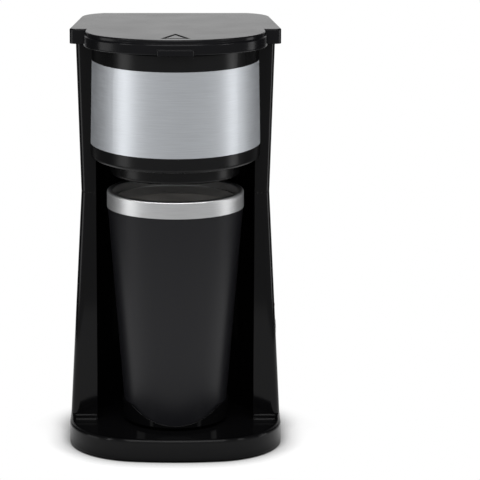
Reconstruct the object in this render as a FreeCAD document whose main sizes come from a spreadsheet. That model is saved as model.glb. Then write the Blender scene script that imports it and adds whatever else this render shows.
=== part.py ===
import FreeCAD, Part
import math
import os
from collections import namedtuple
from types import SimpleNamespace

import Sketcher

# Single-cup drip coffee maker with its travel mug.
# Pieces are drawn about the brew axis, the upright line through the mug and the filter:
# X to the right, -Y to the front, Z up from the table. Every piece is then moved back by
# the same amount, so that the origin lies under the middle of the whole machine.

# Driving dimensions in millimetres
SIZES = {
    # Travel mug
    "mug_rim_radius": 42.7,
    "mug_taper": 11.3,
    "mug_sheet": 0.8,
    "mug_air_gap": 3.0,
    "mug_band_height": 10.6,
    "mug_band_proud": 0.4,
    "mug_lip_width": 3.6,
    "mug_ledge_width": 1.6,
    "mug_ledge_drop": 5.5,
    "mug_lip_round": 1.5,
    "mug_headroom": 10.0,
    "boot_wall": 1.0,
    "boot_floor": 1.6,
    "boot_height": 13.5,
    "boot_scoop_radius": 41.0,
    "boot_scoop_low": 3.2,
    "boot_bevel": 2.0,
    # Base
    "foot_height": 1.2,
    "base_height": 13.1,
    "base_step": 0.3,
    "base_wall": 2.4,
    "base_apron": 20.3,
    "base_corner": 46.0,
    "base_bulge": 1.4,
    "base_edge_round": 1.5,
    "rim_width": 3.0,
    "floor_drop": 3.6,
    "deck": 2.2,
    "cover_thickness": 2.0,
    "cover_inset": 0.4,
    "cover_gap": 0.3,
    "pad_radius": 6.0,
    "pad_side_inset": 19.3,
    "pad_front_inset": 25.0,
    "pad_rear_inset": 21.0,
    "cover_screw_side_inset": 42.3,
    "cover_screw_front_inset": 18.0,
    "cover_screw_rear_inset": 29.0,
    "cover_boss_radius": 3.6,
    "vent_length": 30.0,
    "vent_width": 2.2,
    "vent_pitch": 5.0,
    # Screws
    "screw_radius": 1.3,
    "screw_head_radius": 2.8,
    "screw_head_height": 1.1,
    "screw_play": 0.05,
    "screw_grip": 11.0,
    # Tower
    "bay_gap": 6.8,
    "column_width": 9.0,
    "column_ahead": 6.0,
    "column_round": 5.0,
    "lower_height": 143.0,
    "upper_height": 92.6,
    "seam_gap": 0.3,
    "foot_flare": 7.5,
    "top_flare": 2.7,
    "back_depth": 21.9,
    "rear_step": 1.6,
    "rear_corner": 21.0,
    "rear_bulge": 2.4,
    "wall": 2.4,
    "tower_boss_radius": 3.6,
    "tower_boss_height": 15.0,
    "tower_boss_behind": 5.0,
    "boss_bite": 0.6,
    # Brew head
    "collar_height": 9.6,
    "band_height": 52.1,
    "ring_height": 9.1,
    "ring_round": 2.4,
    "head_overlap": 3.5,
    "head_setback": 3.0,
    "head_corner": 73.9,
    "head_bulge": -10.4,
    "head_draft": 1.0,
    "band_sheet": 0.6,
    "fit_gap": 0.3,
    "skin_gap": 0.1,
    # Filter
    "holder_inset": 9.3,
    "holder_drop": 10.7,
    "holder_wall": 1.8,
    "holder_round": 2.0,
    "holder_ledge": 3.0,
    "holder_flare": 2.4,
    "holder_below_collar": 2.4,
    "outlet_radius": 2.5,
    "filter_gap": 0.4,
    "filter_taper": 14.2,
    "filter_lift": 5.0,
    "filter_wall": 1.5,
    "filter_flange": 1.6,
    "filter_floor_width": 6.0,
    "filter_rib": 5.0,
    "filter_windows": 6,
    "mesh_sheet": 0.4,
    # Lid
    "lid_gap": 0.6,
    "lid_height": 9.2,
    "lid_top": 2.5,
    "lid_skirt": 2.2,
    "lid_side": 3.0,
    "lid_setback": 1.5,
    "lid_corner": 38.0,
    "lid_bulge": 6.6,
    "lid_ear_ahead": 10.0,
    "lid_ear_over": 3.6,
    "lid_ear_round": 4.0,
    "lid_rear_inset": 1.4,
    "lid_step": 1.2,
    "lid_edge_round": 0.9,
    "lid_shoulder_round": 1.0,
    "lid_lower_round": 1.2,
    "lid_rear_gap": 0.2,
    "tab_half_width": 11.0,
    "tab_height": 3.4,
    "tab_root": 6.0,
    "tab_round": 1.5,
    "liner_sheet": 1.2,
    "hinge_radius": 4.7,
    "hinge_beam": 5.0,
    "pin_radius": 1.5,
    "pin_play": 0.06,
    "lug_radius": 3.0,
    "lug_width": 5.4,
    "lug_inner": 24.0,
    "lug_root": 5.0,
    "lug_cover": 0.7,
    "hub_notch": 7.0,
    "pin_inner": 14.0,
    # Water path
    "tank_drop": 5.5,
    "tank_floor_level": 118.0,
    "tank_wall": 1.6,
    "tank_gap": 0.6,
    "tank_arm_behind": 22.0,
    "pipe_clear": 7.9,
    "seal_wall": 1.6,
    "hub_radius": 5.0,
    "hub_depth": 4.6,
    "arm_height": 4.4,
    "arm_width": 8.0,
    "arm_tip_radius": 8.0,
    "arm_wall": 1.2,
    "arm_gap": 0.4,
    "shower_hole_radius": 1.0,
    "shower_circle": 4.0,
    "strainer_radius": 4.4,
    "strainer_height": 5.0,
    "tube_radius": 3.5,
    "tube_wall": 0.8,
    "hose_wall": 1.8,
    "hose_bend": 12.0,
    "clip_width": 4.0,
    "clip_sheet": 0.9,
    # Boiler
    "boiler_inset": 26.5,
    "boiler_across": 20.0,
    "boiler_depth": 11.0,
    "boiler_clear": 2.0,
    "boiler_leg": 14.0,
    "boiler_stub": 10.0,
    "rod_radius": 3.0,
    "rod_offset": 5.6,
    "tube_offset": 4.0,
    "terminal_length": 8.0,
    "bracket_sheet": 1.2,
    "bracket_height": 12.0,
    "stat_radius": 6.8,
    "stat_height": 6.0,
    "fuse_radius": 2.2,
    "fuse_length": 12.0,
    # Switch and lead
    "button_radius": 7.0,
    "button_play": 0.3,
    "button_proud": 0.8,
    "button_length": 12.0,
    "button_level": 60.0,
    "button_behind": 32.0,
    "switch_wall": 2.0,
    "switch_depth": 12.6,
    "lens_radius": 2.0,
    "lens_above": 16.0,
    "lens_length": 5.0,
    "gland_radius": 5.5,
    "gland_bore": 3.6,
    "gland_flange": 2.2,
    "gland_thickness": 1.5,
    "gland_length": 5.5,
    "gland_setback": 0.8,
    "gland_side": 38.0,
    "gland_level": 25.0,
}

doc = FreeCAD.newDocument("coffee_maker")


class Dim:
    """A size that keeps its value beside the sheet expression that gives it."""

    def __init__(self, text, value):
        self.text = text
        self.value = value

    def join(self, sign, other, value):
        return Dim(f"({self.text} {sign} {dim(other).text})", value)

    def __add__(self, other):
        return self.join("+", other, self.value + dim(other).value)

    def __sub__(self, other):
        return self.join("-", other, self.value - dim(other).value)

    def __mul__(self, other):
        return self.join("*", other, self.value * dim(other).value)

    def __truediv__(self, other):
        return self.join("/", other, self.value / dim(other).value)

    def __radd__(self, other):
        return dim(other) + self

    def __rsub__(self, other):
        return dim(other) - self

    def __rmul__(self, other):
        return dim(other) * self

    def __neg__(self):
        return 0 - self


def dim(item):
    """A plain number as a Dim, or the Dim itself."""
    if isinstance(item, Dim):
        return item
    return Dim(f"({float(item)!r})", float(item))


def root(item):
    """Square root of a Dim."""
    return Dim(f"sqrt({item.text})", math.sqrt(item.value))


def make_sheet():
    """Put the driving dimensions in a sheet and return them by name."""
    sheet = doc.addObject("Spreadsheet::Sheet", "Sizes")
    for row, (alias, value) in enumerate(SIZES.items(), start=1):
        sheet.set(f"A{row}", alias)
        sheet.set(f"B{row}", str(value))
        sheet.setAlias(f"B{row}", alias)
    doc.recompute()
    return SimpleNamespace(**{alias: Dim(f"Sizes.{alias}", value) for alias, value in SIZES.items()})


size = make_sheet()

# Levels above the table
rim_level = size.foot_height + size.base_height
floor_level = rim_level - size.floor_drop
ceiling_level = floor_level - size.deck
cover_level = size.foot_height + size.cover_inset
cover_top = cover_level + size.cover_thickness
seam_level = rim_level + size.lower_height
upper_level = seam_level + size.seam_gap
tower_level = upper_level + size.upper_height
band_top = tower_level - size.collar_height
band_level = band_top - size.band_height
ring_level = band_level - size.ring_height
holder_level = ring_level - size.holder_drop
holder_top = band_top - size.holder_below_collar
lid_level = tower_level + size.lid_gap
top_level = lid_level + size.lid_height
hinge_level = top_level - size.hinge_radius
mug_level = floor_level + size.fit_gap
mug_top = holder_level - size.mug_headroom
mug_band_level = mug_top - size.mug_band_height
tank_top = tower_level - size.tank_drop

# Widths and reaches from the brew axis
bay_radius = size.mug_rim_radius + size.bay_gap
bay_back = bay_radius + size.wall
waist_half = bay_radius + size.column_width
foot_half = waist_half + size.foot_flare
top_half = waist_half + size.top_flare
base_half = foot_half + size.base_step
base_front = size.mug_rim_radius + size.base_apron
tower_rear = bay_radius + size.back_depth
base_rear = tower_rear + size.rear_step
head_half = bay_radius + size.head_overlap
head_front = base_front - size.head_setback
head_cut = size.column_ahead + size.fit_gap
neck_radius = bay_radius - size.fit_gap
lid_half = head_half + size.lid_side
lid_front = base_front - size.lid_setback
lid_ear_half = top_half + size.lid_ear_over
lid_rear_half = top_half - size.lid_rear_inset
hinge_behind = tower_rear - size.lid_rear_gap - size.hinge_radius
pipe_behind = bay_back + size.pipe_clear
boiler_bend = waist_half - size.boiler_inset
holder_radius = bay_radius - size.holder_inset
filter_foot_radius = holder_radius - size.filter_taper
mug_foot_radius = size.mug_rim_radius - size.mug_taper
centre_shift = (base_rear - base_front) / 2

# Hoses, and the seal round the riser
hose_x = boiler_bend + size.tube_offset
hose_bore = size.tube_radius + size.skin_gap
hose_radius = hose_bore + size.hose_wall
seal_radius = size.tube_radius + size.seal_wall
riser_level = size.tank_floor_level - size.boiler_stub

# Mug wall line: its radius grows evenly from the foot to the band
mug_neck_radius = size.mug_rim_radius - size.mug_band_proud
mug_slope = (mug_neck_radius - mug_foot_radius) / (mug_band_level - mug_level)

# Corner of an outline. With a radius, an arc joins it to the next corner, turning left or right.
Corner = namedtuple("Corner", "x y radius right", defaults=(None, False))


def bind(item, name, value):
    """Tie a property to the sheet."""
    item.setExpression(name, dim(value).text)


def new_body(label):
    """Start a piece, moved with all the others so that the machine is centred on the origin."""
    body = doc.addObject("PartDesign::Body", label)
    body.Label = label
    body.AllowCompound = True
    bind(body, "Placement.Base.y", -centre_shift)
    return body


def sketch_on(body, role, offset=0):
    """Add a sketch on one of the body's own origin planes, moved along that plane's normal."""
    sketch = body.newObject("Sketcher::SketchObject", f"{body.Name}_sketch")
    plane = next(item for item in body.Origin.OriginFeatures if item.Role == role)
    sketch.AttachmentSupport = [(plane, "")]
    sketch.MapMode = "FlatFace"
    bind(sketch, "AttachmentOffset.Base.z", offset)
    return sketch


def plan_sketch(body, level):
    """Sketch seen from above, at a level over the table."""
    return sketch_on(body, "XY_Plane", level)


def front_sketch(body, ahead=0):
    """Sketch seen from the front, in X and Z, a distance ahead of the brew axis."""
    return sketch_on(body, "XZ_Plane", ahead)


def side_sketch(body, across=0):
    """Sketch seen from the right, in Y and Z, a distance to the right of the brew axis."""
    return sketch_on(body, "YZ_Plane", across)


def hold(sketch, kind, place, value):
    """Add a constraint whose value comes from the sheet."""
    index = sketch.addConstraint(Sketcher.Constraint(kind, *place, dim(value).value))
    sketch.setExpression(f"Constraints[{index}]", dim(value).text)


def hold_point(sketch, edge, end, x, y):
    """Fix one point of an edge by its distances from the sketch's origin."""
    hold(sketch, "DistanceX", (-1, 1, edge, end), x)
    hold(sketch, "DistanceY", (-1, 1, edge, end), y)


def arc_between(start, stop, radius, right):
    """Arc of less than half a circle between two points, drawn counter-clockwise."""
    chord = stop - start
    half = chord.Length / 2
    normal = FreeCAD.Vector(-chord.y, chord.x, 0).normalize()
    sagitta = radius - math.sqrt(radius * radius - half * half)
    middle = (start + stop) * 0.5 + normal * (sagitta if right else -sagitta)
    return Part.Arc(stop, middle, start) if right else Part.Arc(start, middle, stop)


def draw(sketch, corners, closed=True):
    """Draw an outline through the corners, each joined to the next by a line or an arc."""
    spots = [FreeCAD.Vector(dim(corner.x).value, dim(corner.y).value, 0) for corner in corners]
    count = len(corners) if closed else len(corners) - 1
    edges = []
    for index in range(count):
        corner = corners[index]
        start = spots[index]
        stop = spots[(index + 1) % len(spots)]
        if corner.radius is None:
            curve = Part.LineSegment(start, stop)
        else:
            curve = arc_between(start, stop, dim(corner.radius).value, corner.right)
        edge = sketch.addGeometry(curve, False)
        first, last = (2, 1) if corner.right else (1, 2)
        edges.append((edge, first, last))
        hold_point(sketch, edge, first, corner.x, corner.y)
        if corner.radius is not None:
            hold(sketch, "Radius", (edge,), corner.radius)
    for index, (edge, first, last) in enumerate(edges):
        if index + 1 < count or closed:
            following, its_first, its_last = edges[(index + 1) % count]
            sketch.addConstraint(Sketcher.Constraint("Coincident", edge, last, following, its_first))
        else:
            hold_point(sketch, edge, last, corners[-1].x, corners[-1].y)
    return sketch


def circle(sketch, x, y, radius):
    """Add a full circle to a sketch."""
    middle = FreeCAD.Vector(dim(x).value, dim(y).value, 0)
    shape = Part.Circle(middle, FreeCAD.Vector(0, 0, 1), dim(radius).value)
    edge = sketch.addGeometry(shape, False)
    hold_point(sketch, edge, 3, x, y)
    hold(sketch, "Radius", (edge,), radius)
    return sketch


def box_corners(left, right, low, high):
    """Corners of a rectangle."""
    return [Corner(left, low), Corner(right, low), Corner(right, high), Corner(left, high)]


def pad(body, sketch, length, back=False):
    """Raise a sketch along its normal, or the other way."""
    feature = body.newObject("PartDesign::Pad", f"{body.Name}_pad")
    feature.Profile = sketch
    bind(feature, "Length", length)
    feature.Reversed = back
    return feature


def cut(body, sketch, depth, ahead=False):
    """Sink a sketch against its normal, or along it, and see that something was removed."""
    doc.recompute()
    before = body.Shape.Volume
    feature = body.newObject("PartDesign::Pocket", f"{body.Name}_cut")
    feature.Profile = sketch
    bind(feature, "Length", depth)
    feature.Reversed = ahead
    doc.recompute()
    if body.Shape.Volume >= before:
        raise RuntimeError(f"{feature.Name} cut nothing")
    return feature


def revolve(body, sketch):
    """Turn a sketch about its own upright axis."""
    feature = body.newObject("PartDesign::Revolution", f"{body.Name}_turned")
    feature.Profile = sketch
    feature.ReferenceAxis = (sketch, ["V_Axis"])
    feature.Angle = 360
    return feature


def loft(body, low, high, kind="Additive"):
    """Join two sections with straight walls, or remove what lies between them."""
    feature = body.newObject(f"PartDesign::{kind}Loft", f"{body.Name}_loft")
    feature.Profile = low
    feature.Sections = [high]
    feature.Ruled = True
    return feature


def sweep(body, section, path):
    """Carry a section along a path."""
    feature = body.newObject("PartDesign::AdditivePipe", f"{body.Name}_sweep")
    feature.Profile = section
    feature.Spine = path
    return feature


def round_edges(body, radius, chosen):
    """Round the edges of a piece that the test picks."""
    doc.recompute()
    solid = body.Tip
    names = [f"Edge{number}" for number, edge in enumerate(solid.Shape.Edges, start=1) if chosen(edge)]
    feature = body.newObject("PartDesign::Fillet", f"{body.Name}_round")
    feature.Base = (solid, names)
    bind(feature, "Radius", radius)
    doc.recompute()
    return feature


def near(value, target):
    """True where a value is a wanted one."""
    return abs(value - dim(target).value) < 0.01


def lies_at(edge, level):
    """True where an edge lies flat at a level."""
    return near(edge.BoundBox.ZMin, level) and near(edge.BoundBox.ZMax, level)


def rounded_end(half_width, reach, corner, bulge):
    """Sizes of a rounded plan end: a wide arc over it and a corner arc into each side.

    bulge is how much further the middle reaches than corner arcs on a straight end would.
    """
    corner_x = half_width - corner
    wide = (corner_x * corner_x + 2 * corner * bulge + bulge * bulge) / (2 * bulge)
    share = wide / (wide - corner)
    shoulder = reach - corner - bulge
    meet_x = corner_x * share
    meet_y = reach - wide + (shoulder - reach + wide) * share
    return wide, meet_x, meet_y, shoulder


def front_corners(half_width, reach, corner, bulge, start=None):
    """Corners of a rounded front end, from its left side to its right side.

    With start, the end begins on the corner arcs that far ahead of the axis.
    """
    wide, meet_x, meet_y, shoulder = rounded_end(half_width, reach, corner, bulge)
    side_x, side_y = half_width, shoulder
    if start is not None:
        rise = start - shoulder
        side_x = half_width - corner + root(corner * corner - rise * rise)
        side_y = start
    return [
        Corner(-side_x, -side_y, corner),
        Corner(-meet_x, -meet_y, wide),
        Corner(meet_x, -meet_y, corner),
        Corner(side_x, -side_y),
    ]


def rear_corners(half_width, reach, corner, bulge):
    """Corners of a rounded rear end, from its right side to its left side."""
    wide, meet_x, meet_y, shoulder = rounded_end(half_width, reach, corner, bulge)
    return [
        Corner(half_width, shoulder, corner),
        Corner(meet_x, meet_y, wide),
        Corner(-meet_x, meet_y, corner),
        Corner(-half_width, shoulder),
    ]


def backwards(corners):
    """The same run of corners taken the other way round."""
    turned = []
    for index in range(len(corners) - 1, -1, -1):
        radius = corners[index - 1].radius if index > 0 else None
        turned.append(Corner(corners[index].x, corners[index].y, radius, radius is not None))
    return turned


def base_corners(inset=0):
    """Plan of the base: a broad rounded front and a rounded rear."""
    half = base_half - inset
    front = front_corners(half, base_front - inset, size.base_corner - inset, size.base_bulge)
    rear_corner = size.rear_corner + size.rear_step
    return front + rear_corners(half, base_rear - inset, rear_corner - inset, size.rear_bulge)


def tower_corners(half_width, inset=0):
    """Plan of the tower at one level: a flat front with rounded edges and a rounded rear."""
    half = half_width - inset
    ahead = size.column_ahead - inset
    edge = size.column_round - inset
    front = [
        Corner(-half, edge - ahead, edge),
        Corner(edge - half, -ahead),
        Corner(half - edge, -ahead, edge),
        Corner(half, edge - ahead),
    ]
    return front + rear_corners(half, tower_rear - inset, size.rear_corner - inset, size.rear_bulge)


def head_corners(inset, draft):
    """Plan of the brew head: an oval nose ahead of the columns and a round neck between them."""
    start = head_cut + inset
    taken = inset + draft
    corner = size.head_corner - taken
    nose = front_corners(head_half - taken, head_front - taken, corner, size.head_bulge, start)
    neck = neck_radius - inset
    neck_x = root(neck * neck - start * start)
    return nose + [Corner(neck_x, -start, neck), Corner(0, neck, neck), Corner(-neck_x, -start)]


def four_places(side_inset, front_inset, rear_inset):
    """Two places near the base's front and two near its rear, by their distance from its edges."""
    side = base_half - side_inset
    front = base_front - front_inset
    rear = base_rear - rear_inset
    return [(-side, -front), (side, -front), (-side, rear), (side, rear)]


cover_screw_places = four_places(
    size.cover_screw_side_inset, size.cover_screw_front_inset, size.cover_screw_rear_inset
)
# Tower screws stand against the wall: two at the sides and two in the rear corners
boss_reach = size.wall + size.tower_boss_radius - size.boss_bite
side_boss_x = foot_half - boss_reach
diagonal = (size.rear_corner - boss_reach) * math.sqrt(0.5)
rear_boss_x = foot_half - size.rear_corner + diagonal
rear_boss_y = tower_rear - size.rear_corner - size.rear_bulge + diagonal
tower_screw_places = [
    (-side_boss_x, size.tower_boss_behind),
    (side_boss_x, size.tower_boss_behind),
    (-rear_boss_x, rear_boss_y),
    (rear_boss_x, rear_boss_y),
]


def circles(body, level, places, radius):
    """Plan sketch with the same circle at each place."""
    sketch = plan_sketch(body, level)
    for x, y in places:
        circle(sketch, x, y, radius)
    return sketch


def base_housing():
    """Base shell: raised rim, sunk mug floor, hollow underside with screw bosses."""
    body = new_body("base_housing")
    pad(body, draw(plan_sketch(body, size.foot_height), base_corners()), size.base_height)
    round_edges(body, size.base_edge_round, lambda edge: lies_at(edge, rim_level))
    apron = front_corners(
        base_half - size.rim_width,
        base_front - size.rim_width,
        size.base_corner - size.rim_width,
        size.base_bulge,
    )
    apron_half = base_half - size.rim_width
    apron += [Corner(apron_half, -size.column_ahead), Corner(-apron_half, -size.column_ahead)]
    cut(body, draw(plan_sketch(body, rim_level), apron), size.floor_drop)
    cut(body, circle(plan_sketch(body, rim_level), 0, 0, bay_radius), size.floor_drop)
    hollow = draw(plan_sketch(body, size.foot_height), base_corners(size.base_wall))
    cut(body, hollow, ceiling_level - size.foot_height, ahead=True)
    bosses = circles(body, cover_top, cover_screw_places, size.cover_boss_radius)
    pad(body, bosses, ceiling_level - cover_top)
    holes = circles(body, cover_top, cover_screw_places, size.screw_radius + size.screw_play)
    cut(body, holes, ceiling_level - cover_top, ahead=True)
    slot_half = boiler_bend + size.boiler_across / 2
    slot_back = pipe_behind + size.boiler_depth / 2
    slot = box_corners(-slot_half, slot_half, bay_back + size.wall, slot_back)
    cut(body, draw(plan_sketch(body, rim_level), slot), rim_level - ceiling_level)
    passages = circles(body, rim_level, tower_screw_places, size.screw_radius + size.fit_gap)
    cut(body, passages, rim_level - ceiling_level)
    return body


def bottom_cover():
    """Plate under the base, with sunk screw holes and a row of vents."""
    body = new_body("bottom_cover")
    inset = size.base_wall + size.cover_gap
    pad(body, draw(plan_sketch(body, cover_level), base_corners(inset)), size.cover_thickness)
    holes = circles(body, cover_level, cover_screw_places, size.screw_radius + size.fit_gap)
    cut(body, holes, size.cover_thickness, ahead=True)
    sunk = circles(body, cover_level, cover_screw_places, size.screw_head_radius + size.fit_gap)
    cut(body, sunk, size.screw_head_height, ahead=True)
    vents = plan_sketch(body, cover_level)
    for row in range(5):
        middle = size.vent_pitch * row
        half = size.vent_length / 2
        draw(vents, box_corners(-half, half, middle, middle + size.vent_width))
    cut(body, vents, size.cover_thickness, ahead=True)
    return body


def rubber_feet():
    """Four round rubber pads under the cover."""
    body = new_body("rubber_feet")
    places = four_places(size.pad_side_inset, size.pad_front_inset, size.pad_rear_inset)
    pad(body, circles(body, dim(0), places, size.pad_radius), cover_level)
    return body


def screws(label, places, head_level, length):
    """Upright screws, heads down."""
    body = new_body(label)
    pad(body, circles(body, head_level, places, size.screw_head_radius), size.screw_head_height)
    shank_level = head_level + size.screw_head_height
    pad(body, circles(body, shank_level, places, size.screw_radius), length)
    return body


def tower_shell(label, level, height, low_half, high_half):
    """C-shaped tower wall round the mug bay, open above and below."""
    body = new_body(label)
    top = level + height
    low = draw(plan_sketch(body, level), tower_corners(low_half))
    high = draw(plan_sketch(body, top), tower_corners(high_half))
    loft(body, low, high)
    low = draw(plan_sketch(body, level), tower_corners(low_half, size.wall))
    high = draw(plan_sketch(body, top), tower_corners(high_half, size.wall))
    loft(body, low, high, "Subtractive")
    pad(body, circle(plan_sketch(body, level), 0, 0, bay_back), height)
    cut(body, circle(plan_sketch(body, top), 0, 0, bay_radius), height)
    ahead = box_corners(-bay_back, bay_back, -bay_back, -size.column_ahead)
    cut(body, draw(plan_sketch(body, top), ahead), height)
    return body


def half_at(level):
    """Half width of the lower body at a level."""
    return foot_half - size.foot_flare * (level - rim_level) / size.lower_height


def lower_body():
    """Lower tower, flaring to the base, with bosses, switch and lens holes and the lead hole."""
    body = tower_shell("lower_body", rim_level, size.lower_height, foot_half, waist_half)
    bosses = circles(body, rim_level, tower_screw_places, size.tower_boss_radius)
    pad(body, bosses, size.tower_boss_height)
    holes = circles(body, rim_level, tower_screw_places, size.screw_radius + size.screw_play)
    cut(body, holes, size.tower_boss_height, ahead=True)
    switch_x = half_at(size.button_level) + size.wall
    opening = circle(
        side_sketch(body, switch_x),
        size.button_behind,
        size.button_level,
        size.button_radius + size.button_play,
    )
    cut(body, opening, size.wall * 3)
    lens_level = size.button_level + size.lens_above
    lens_hole = side_sketch(body, switch_x)
    circle(lens_hole, size.button_behind, lens_level, size.lens_radius + size.skin_gap)
    cut(body, lens_hole, size.wall * 3)
    lead = front_sketch(body, size.wall * 2 - tower_rear)
    circle(lead, size.gland_side, size.gland_level, size.gland_radius)
    cut(body, lead, size.wall * 3)
    return body


def upper_body():
    """Upper tower, with two lugs for the lid hinge on its rear wall."""
    body = tower_shell("upper_body", upper_level, size.upper_height, waist_half, top_half)
    back = hinge_behind + size.lug_radius
    front = hinge_behind - size.lug_radius
    wall_inside = tower_rear - size.wall - size.rear_bulge
    root_level = tower_level - size.lug_root
    profile = [
        Corner(back, hinge_level, size.lug_radius),
        Corner(hinge_behind, hinge_level + size.lug_radius, size.lug_radius),
        Corner(front, hinge_level),
        Corner(front, tower_level),
        Corner(wall_inside, root_level),
        Corner(back, root_level),
    ]
    for side in (size.lug_inner, -size.lug_inner - size.lug_width):
        pad(body, draw(side_sketch(body, side), profile), size.lug_width)
    outer = size.lug_inner + size.lug_width
    pin_hole = circle(side_sketch(body, outer), hinge_behind, hinge_level, size.pin_radius)
    cut(body, pin_hole, outer * 2)
    return body


def head_shell():
    """Wall of the brew head: set back behind the steel band, full size at the collar."""
    body = new_body("head_shell")
    under = size.band_sheet + size.skin_gap
    low = draw(plan_sketch(body, band_level), head_corners(under, dim(0)))
    high = draw(plan_sketch(body, band_top), head_corners(under, size.head_draft))
    loft(body, low, high)
    collar_low = draw(plan_sketch(body, band_top), head_corners(dim(0), size.head_draft))
    pad(body, collar_low, size.collar_height)
    inside = draw(plan_sketch(body, tower_level), head_corners(size.wall + under, size.head_draft))
    cut(body, inside, tower_level - band_level)
    return body


def steel_band():
    """Brushed steel sheet wrapped round the front of the head."""
    body = new_body("steel_band")
    sections = []
    for level, draft in ((band_level + size.skin_gap, dim(0)), (band_top - size.skin_gap, size.head_draft)):
        outside = band_run(dim(0), draft)
        inside = band_run(size.band_sheet, draft)
        sections.append(draw(plan_sketch(body, level), outside + backwards(inside)))
    loft(body, *sections)
    return body


def band_run(inset, draft):
    """Front of the head's plan, from one column to the other."""
    taken = inset + draft
    corner = size.head_corner - taken
    start = head_cut + size.skin_gap
    return front_corners(head_half - taken, head_front - taken, corner, size.head_bulge, start)


def head_floor():
    """Rounded ring under the steel band, with the opening that the filter holder stands in."""
    body = new_body("head_floor")
    height = size.ring_height - size.skin_gap
    pad(body, draw(plan_sketch(body, ring_level), head_corners(dim(0), dim(0))), height)
    shoulder = -head_cut.value

    def nose_edge(edge):
        return lies_at(edge, ring_level) and edge.BoundBox.YMin < shoulder - size.fit_gap.value

    round_edges(body, size.ring_round, nose_edge)
    inside = draw(
        plan_sketch(body, ring_level + size.ring_height), head_corners(size.wall * 2, dim(0))
    )
    cut(body, inside, size.ring_height - size.wall)
    opening = circle(plan_sketch(body, ring_level), 0, 0, holder_radius + size.fit_gap)
    cut(body, opening, size.wall * 2, ahead=True)
    return body


def filter_holder():
    """Round filter cup that hangs through the head floor, with a drip outlet."""
    body = new_body("filter_holder")
    radius = holder_radius
    wall = size.holder_wall
    ledge_level = ring_level + size.wall
    rim = radius + size.holder_ledge + size.holder_flare
    corner = size.holder_round
    bore = radius - wall
    profile = [
        Corner(size.outlet_radius, holder_level),
        Corner(radius - corner, holder_level, corner),
        Corner(radius, holder_level + corner),
        Corner(radius, ledge_level),
        Corner(radius + size.holder_ledge, ledge_level),
        Corner(rim, holder_top),
        Corner(rim - wall, holder_top),
        Corner(radius + size.holder_ledge - wall, ledge_level + wall),
        Corner(bore, ledge_level + wall),
        Corner(bore, holder_level + corner),
        Corner(radius - corner, holder_level + wall),
        Corner(size.outlet_radius, holder_level + wall),
    ]
    revolve(body, draw(front_sketch(body), profile))
    return body


def filter_cone():
    """Levels and radii that the permanent filter's frame and mesh share."""
    flange_level = holder_top + size.skin_gap
    mouth = holder_radius + size.holder_ledge + size.holder_flare - size.holder_wall - size.filter_gap
    foot_level = holder_level + size.holder_wall + size.filter_lift
    slope = (mouth - filter_foot_radius) / (flange_level - foot_level)
    return flange_level, mouth, foot_level, slope


def filter_frame():
    """Conical frame of the permanent filter, with windows between its ribs."""
    body = new_body("filter_frame")
    flange_level, mouth, foot_level, slope = filter_cone()
    wall = size.filter_wall
    foot = filter_foot_radius
    rim = mouth + size.holder_wall
    profile = [
        Corner(foot - size.filter_floor_width, foot_level),
        Corner(foot, foot_level),
        Corner(mouth, flange_level),
        Corner(rim, flange_level),
        Corner(rim, flange_level + size.filter_flange),
        Corner(mouth - wall, flange_level + size.filter_flange),
        Corner(foot - wall + slope * wall, foot_level + wall),
        Corner(foot - size.filter_floor_width, foot_level + wall),
    ]
    revolve(body, draw(front_sketch(body), profile))
    doc.recompute()
    count = SIZES["filter_windows"]
    low = foot_level + size.filter_rib
    high = flange_level - size.filter_rib
    low_half = (foot + slope * size.filter_rib) * math.sin(math.pi / count) - size.filter_rib / 2
    high_half = (mouth - slope * size.filter_rib) * math.sin(math.pi / count) - size.filter_rib / 2
    window = [
        Corner(-low_half, low),
        Corner(low_half, low),
        Corner(high_half, high),
        Corner(-high_half, high),
    ]
    opening = cut(body, draw(front_sketch(body, rim), window), rim)
    pattern = body.newObject("PartDesign::PolarPattern", f"{body.Name}_windows")
    pattern.Originals = [opening]
    upright = next(item for item in body.Origin.OriginFeatures if item.Role == "Z_Axis")
    pattern.Axis = (upright, [""])
    pattern.Angle = 360
    bind(pattern, "Occurrences", size.filter_windows)
    body.Tip = pattern
    return body


def filter_mesh():
    """Fine steel mesh cup inside the frame, as a thin cone."""
    body = new_body("filter_mesh")
    flange_level, mouth, foot_level, slope = filter_cone()
    inset = size.filter_wall * 1.2 + size.skin_gap
    sheet = size.mesh_sheet
    low = foot_level + size.filter_wall + size.skin_gap
    foot = filter_foot_radius - inset
    top = mouth - inset
    profile = [
        Corner(0, low),
        Corner(foot, low),
        Corner(top, flange_level),
        Corner(top - sheet, flange_level),
        Corner(foot - sheet, low + sheet),
        Corner(0, low + sheet),
    ]
    revolve(body, draw(front_sketch(body), profile))
    return body


def lid_corners(inset=0, step=0):
    """Plan of the lid: a rounded nose, which can be stepped in, ears over the columns, a rounded rear."""
    taken = inset + step
    nose = front_corners(lid_half - taken, lid_front - taken, size.lid_corner - taken, size.lid_bulge)
    edge = size.lid_ear_round - inset
    ear_ahead = size.lid_ear_ahead - inset
    ear = lid_ear_half - inset
    right_ear = [
        Corner(lid_half - taken, -ear_ahead),
        Corner(ear - edge, -ear_ahead, edge),
        Corner(ear, edge - ear_ahead),
    ]
    left_ear = [
        Corner(-ear, edge - ear_ahead, edge),
        Corner(edge - ear, -ear_ahead),
        Corner(taken - lid_half, -ear_ahead),
    ]
    rear_reach = hinge_behind + size.hinge_radius - inset
    rear_corner = size.rear_corner - inset
    rear = rear_corners(lid_rear_half - inset, rear_reach, rear_corner, size.rear_bulge)
    return nose + right_ear + rear + left_ear


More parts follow.
